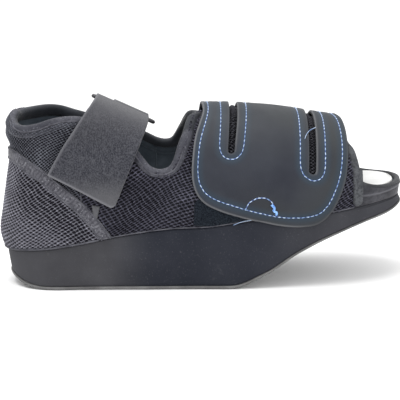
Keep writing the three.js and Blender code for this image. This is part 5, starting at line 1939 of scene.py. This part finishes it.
strap_length = float(np.linalg.norm(strap_corner(STRAP_TOP_REAR) - strap_corner(STRAP_END_REAR)))
make_folded_band("strap", "ankle_strap", strap_base, NEAR, strap_length, (40, 14, 90), 71, STRAP_WRINKLE)
make_folded_band("tab", "ring_tab", tab_base, FAR, TAB_LENGTH, (30, 14, 50), 61, 0)


def make_ring():
    side = unit(strap_top_line)
    over = np.array([0, ring_reach, -ring_drop])
    rear_play, front_play = RING_REAR_ROOM + RING_WIRE / 2, RING_FRONT_ROOM + RING_WIRE / 2
    start = base_top(np.zeros(1))[0] + strap_up * (STRAP_THICKNESS / 2 + fold_radius) - side * rear_play
    long = side * (np.linalg.norm(strap_top_line) + rear_play + front_play)
    corners = [start, start + long, start + long + over, start + over]
    line = []
    for k, corner in enumerate(corners):
        before, after = unit(corners[k - 1] - corner), unit(corners[(k + 1) % 4] - corner)
        for angle in np.linspace(0, np.pi / 2, 9):
            inwards = before * (1 - np.sin(angle)) + after * (1 - np.cos(angle))
            line.append(corner + inwards * RING_CORNER_RADIUS)
    line = tidy_loop(np.array(line), 0.8)
    points, faces = tube(line, RING_WIRE / 2, unit(np.cross(long, over)), 12, True)
    make_piece("ring", points, faces, METAL, ["strap_ring"])


make_ring()


# Nets of the sides and the collar, with the seams and patches on them

# How far the net laps over the collar roll, from its middle line as shares of half its width, along the last.
LAPS = table(("along", "near", "far"), (
    (0.0, 0.85, 0.85),
    (0.02, 0.75, 0.8),
    (0.045, 0.2, 0.5),
    (0.07, -0.1, 0.2),
    (0.11, -0.1, 0.0),
    (0.16, 0.05, 0.0),
    (0.3, 0.0, 0.0),
    (0.36, -0.3, -0.3),
    (0.41, -0.35, -0.35),
    (0.44, -0.5, -0.5),
    (0.5, -0.6, -0.6),
))

COLLAR_NET_FRONT = -84
SIDE_NET_FRONT = 106
HIDDEN_MARGIN = 6
STRAP_SHADE_MARGIN = 5
SLOT_MARGIN = 3.5
SLOT_PUFF = 1.5
NET_FOOT = 0.9

# Steps of the two threads, their turns in degrees, and how far the knots wander. Reaches are girths.
COLLAR_WEAVE = ((2.1, 1.7), (24, -50), 0.6)
SIDE_WEAVE = ((2.9, 2.1), (20, -52), 0.85)
SLOT_WEAVE = ((2.2, 1.9), (35, -40), 0.5)
COLLAR_REACH = 110
SIDE_REACH = 130
SLOT_REACH = 90


def on_crown(chart, lift):
    """Points of the upper's skin from the way and the girth down from the roof, negative on the near side."""
    side = np.where(chart[:, 1] < 0, NEAR, FAR)
    return upper_skin.at(chart[:, 0], upper_skin.full_at(chart[:, 0]) - np.abs(chart[:, 1]), side, lift)


def roll_place(way, up, side):
    """Distance up from the collar roll's middle line, as a share of half its width."""
    seat_way, seat_up, band, _ = collar_seats(side)
    half = np.interp(way, seat_way, band) * COLLAR_ROLL[1] / 2
    return (up - np.interp(way, seat_way, seat_up)) / half


def on_padded(chart, lift):
    """Points of the upper's outside from signed ways, following the swell of the collar roll."""
    bulge = np.zeros(len(chart))
    for side, chosen in ((NEAR, chart[:, 0] < 0), (FAR, chart[:, 0] >= 0)):
        off = roll_place(np.abs(chart[chosen, 0]), chart[chosen, 1], side)
        power = 2 / ROLL_SQUARENESS
        swell = (1 - np.clip(np.abs(off), 0, 1) ** power) ** (1 / power) * COLLAR_ROLL[0] / 2
        bulge[chosen] = np.maximum(swell - WALL_THICKNESS / 2, 0)
    return on_upper(chart, bulge + lift)


def lap_at(way, side):
    return np.interp(way, upper_skin.way_at(place_of(LAPS["along"])), LAPS["near" if side == NEAR else "far"])


def under_strap(places):
    ends = np.array([0.0, 1.0])
    loop = np.concatenate([base_top(ends), strap_end_at(ends[::-1])])[:, [0, 2]]
    flat = places[:, [0, 2]]
    return (places[:, 1] < 0) & inside(flat, loop) & (distance_to(flat, loop) > STRAP_SHADE_MARGIN)


def in_wall(middle):
    """What lies above the tape and below the collar roll, and isn't hidden deep under the strap."""
    way, up = np.abs(middle[:, 0]), middle[:, 1]
    under_roll = np.ones(len(middle), bool)
    for side, chosen in ((NEAR, middle[:, 0] < 0), (FAR, middle[:, 0] >= 0)):
        under_roll[chosen] = roll_place(way[chosen], up[chosen], side) < lap_at(way[chosen], side)
    toe_limit = rim_up(NEAR)[0](way) - TOE_ROLL[1] / 2 + 1
    in_front = way > upper_skin.way_at(place_of(THROAT["along"][-1]))
    kept = (up > NET_FOOT) & (up > tape_up(way)) & under_roll & (~in_front | (up < toe_limit))
    return kept & ~under_strap(on_upper(middle, 0))


def in_collar(middle):
    return in_wall(middle) & (on_upper(middle, 0)[:, 0] < COLLAR_NET_FRONT)


def in_side(middle):
    x, way = on_upper(middle, 0)[:, 0], np.abs(middle[:, 0])
    crown = np.stack([way, np.sign(middle[:, 0]) * (upper_skin.full_at(way) - middle[:, 1])], -1)
    hidden = inside(crown, flap_loop) & (distance_to(crown, flap_loop) > HIDDEN_MARGIN)
    return in_wall(middle) & (x >= COLLAR_NET_FRONT) & (x < SIDE_NET_FRONT) & ~hidden


def near_slot(middle):
    kept = np.zeros(len(middle), bool)
    for loop in slot_loops:
        kept |= inside(middle, loop) | (distance_to(middle, loop) < SLOT_MARGIN)
    return kept


def on_slots(chart, lift):
    """The upper's skin under the flap, puffed up into the slots."""
    puff = np.zeros(len(chart))
    for loop in slot_loops:
        depth = np.where(inside(chart, loop), distance_to(chart, loop), 0)
        puff += SLOT_PUFF * smooth_step(0.2, 2.4, depth)
    return on_crown(chart, puff + lift)


def drawn_on_upper(places):
    """Signed ways and girths on the near side of places and heights in the side view."""
    x, z = np.array(places, float).T
    return np.stack([-upper_skin.way_at(x), upper_skin.up_at(x, z)], -1)


def make_patch(name, outline, low, high, finish):
    """A flat patch on the near side, its outline as places and heights in the side view."""
    loop = drawn_on_upper(outline) * (-1, 1)
    chart, faces, gap = chart_panel(loop, spacing=2.0, border=1.2, rims=(0.4, 0.9))
    top, bottom = (on_upper(chart * (-1, 1), lift) for lift in (rounded_lift(gap, low, high, 0.5), low))
    make_sheet(name, top, bottom, faces, finish, (), chart)


# Patches and a loose thread in the side view, and the inner seams' places. Radii, and middles off the skin.
FLAP_PATCH = ((-7, 46), (-6, 62), (2, 68), (30, 62), (52, 56), (53, 50.5), (40, 51), (22, 48), (5, 45))
STRAP_LAYER = ((-76.5, 61), (-75.6, 52.6), (-73, 51.6), (-71, 60))
LOOSE_THREAD = ((20.5, 46.2), (25, 48.2), (30, 49.3), (40, 50.2))
INNER_SEAMS = (-100, -60, -31, -16)
PIPING_RADIUS = 0.5
SEAM_PIPING_RADIUS = 0.45
INNER_SEAM_RADIUS = 0.7
INNER_SEAM_LIFT = -WALL_THICKNESS - 0.2
INNER_SEAM_FOOT = 6
INNER_SEAM_DROP = 5
COLLAR_LAP_SEATS = 19
COLLAR_SEAM_SEATS = 18


def upright(way, low, high, count):
    """A line straight up at one signed way."""
    return np.stack([np.full(count, way), np.linspace(low, high, count)], -1)


def make_side_piping():
    """Piping along the sole, under the collar roll and between the two nets."""
    parts = []
    sill_way = np.linspace(TAPE_END_WAY - 2, upper_skin.way_at(TOE_WALL_START), 120)
    seam_way = float(upper_skin.way_at(COLLAR_NET_FRONT))
    for side in (NEAR, FAR):
        sill = np.stack([side * sill_way, np.full(120, 0.7)], -1)
        parts.append(cord_on(on_upper, sill, PIPING_RADIUS, 0.4))
        way, up, band, _ = collar_seats(side)
        lap = np.stack([side * way, up + lap_at(way, side) * band * COLLAR_ROLL[1] / 2], -1)
        line = curved_loop(lap[:COLLAR_LAP_SEATS], closed=False)
        parts.append(cord_on(on_padded, line, PIPING_RADIUS, 0.25))
        rim = rim_up(side)[0](np.array([seam_way]))[0]
        line = upright(side * seam_way, tape_up(seam_way), rim - 3, 20)
        parts.append(cord_on(on_upper, line, SEAM_PIPING_RADIUS, 0.55))
    make_cords("side_piping", parts, PIPING)
    thread = curved_loop(drawn_on_upper(LOOSE_THREAD), closed=False)
    make_cords("thread_end", [cord_on(on_upper, thread, LOOSE_RADIUS, 1.5)], PALE_THREAD_AND_HIGHLIGHT)


def make_inner_seams():
    """Seams of the lining inside: upright ones on both sides and one under the collar roll."""
    lines = []
    for side in (NEAR, FAR):
        for place in INNER_SEAMS:
            way = float(upper_skin.way_at(place))
            rim = float(rim_up(side)[0](np.array([way]))[0])
            lines.append(upright(side * way, INNER_SEAM_FOOT, rim - 4, 24))
        way, up, band, _ = collar_seats(side)
        under = np.stack([side * way, up - band * COLLAR_ROLL[1] / 2 - INNER_SEAM_DROP], -1)
        lines.append(curved_loop(under[:COLLAR_SEAM_SEATS], closed=False))
    parts = [cord_on(on_upper, line, INNER_SEAM_RADIUS, INNER_SEAM_LIFT) for line in lines]
    make_cords("inner_seams", parts, INSIDE)


total_way = upper_skin.way[-1]
make_net("collar_net", on_padded, in_collar, (-total_way, 0), (total_way, COLLAR_REACH),
         COLLAR_WEAVE, 0.05, 0.6, FINE_YARN)
make_net("side_net", on_padded, in_side, (-total_way, 0), (total_way, SIDE_REACH),
         SIDE_WEAVE, 0.05, 0.7, YARN)
make_net("slot_net", on_slots, near_slot, (0, -SLOT_REACH), (total_way, SLOT_REACH),
         SLOT_WEAVE, 0.03, 0.7, SLOT_YARN)
make_patch("flap_fastener", FLAP_PATCH, 0.1, 1.15, VELOUR)
make_patch("strap_layer", STRAP_LAYER, 1.2, 2.1, FELT)
make_side_piping()
make_inner_seams()


# Camera, floor and light

FLOOR_REACH = 6.0


def make_camera():
    azimuth, elevation = math.radians(CAMERA_AZIMUTH), math.radians(CAMERA_ELEVATION)
    back = Vector((math.sin(azimuth) * math.cos(elevation), -math.cos(azimuth) * math.cos(elevation),
                   math.sin(elevation)))
    data = bpy.data.cameras.new("camera")
    data.sensor_width = SENSOR_WIDTH
    data.lens = SENSOR_WIDTH * PIXELS_PER_MM * CAMERA_DISTANCE / FRAME_PIXELS
    data.shift_y = -TARGET_ABOVE_MIDDLE / FRAME_PIXELS
    data.clip_end = 20
    camera = placed("camera", data)
    camera.location = (Vector(CAMERA_TARGET) + back * CAMERA_DISTANCE) * METRE
    turn = (-back).to_track_quat("-Z", "Y").to_matrix() @ Matrix.Rotation(math.radians(CAMERA_ROLL), 3, "Z")
    camera.rotation_mode = "QUATERNION"
    camera.rotation_quaternion = turn.to_quaternion()
    bpy.context.scene.camera = camera


def make_light(name, place, aim, size, power, colour=(1, 1, 1)):
    data = bpy.data.lights.new(name, "AREA")
    data.shape = "RECTANGLE"
    data.size, data.size_y = size
    data.energy = power
    data.color = colour
    light = placed(name, data)
    light.location = place
    light.rotation_mode = "QUATERNION"
    light.rotation_quaternion = (Vector(aim) - Vector(place)).to_track_quat("-Z", "Y")


def make_floor():
    mesh = bpy.data.meshes.new("floor")
    corners = [(x * FLOOR_REACH, y * FLOOR_REACH, 0) for x, y in ((-1, -1), (1, -1), (1, 1), (-1, 1))]
    mesh.from_pydata(corners, [], [(0, 1, 2, 3)])
    f = Finish("floor", roughness=0.9, specular=0.2)
    mesh.materials.append(f.done((0.93, 0.93, 0.93, 1)))
    floor = placed("floor", mesh)


def make_sky():
    world = bpy.data.worlds.new("sky")
    world.use_nodes = True
    background = world.node_tree.nodes["Background"]
    background.inputs["Color"].default_value = (1, 1, 1, 1)
    background.inputs["Strength"].default_value = 1.1
    bpy.context.scene.world = world


make_camera()
make_floor()
make_sky()
make_light("key", (-0.25, -0.2, 1.3), (0, 0, 0.06), (1.0, 0.8), 14)
make_light("low", (0.75, -0.75, 0.3), (0.1, 0, 0), (0.9, 0.4), 2.5)
bpy.context.scene.view_settings.view_transform = "Standard"
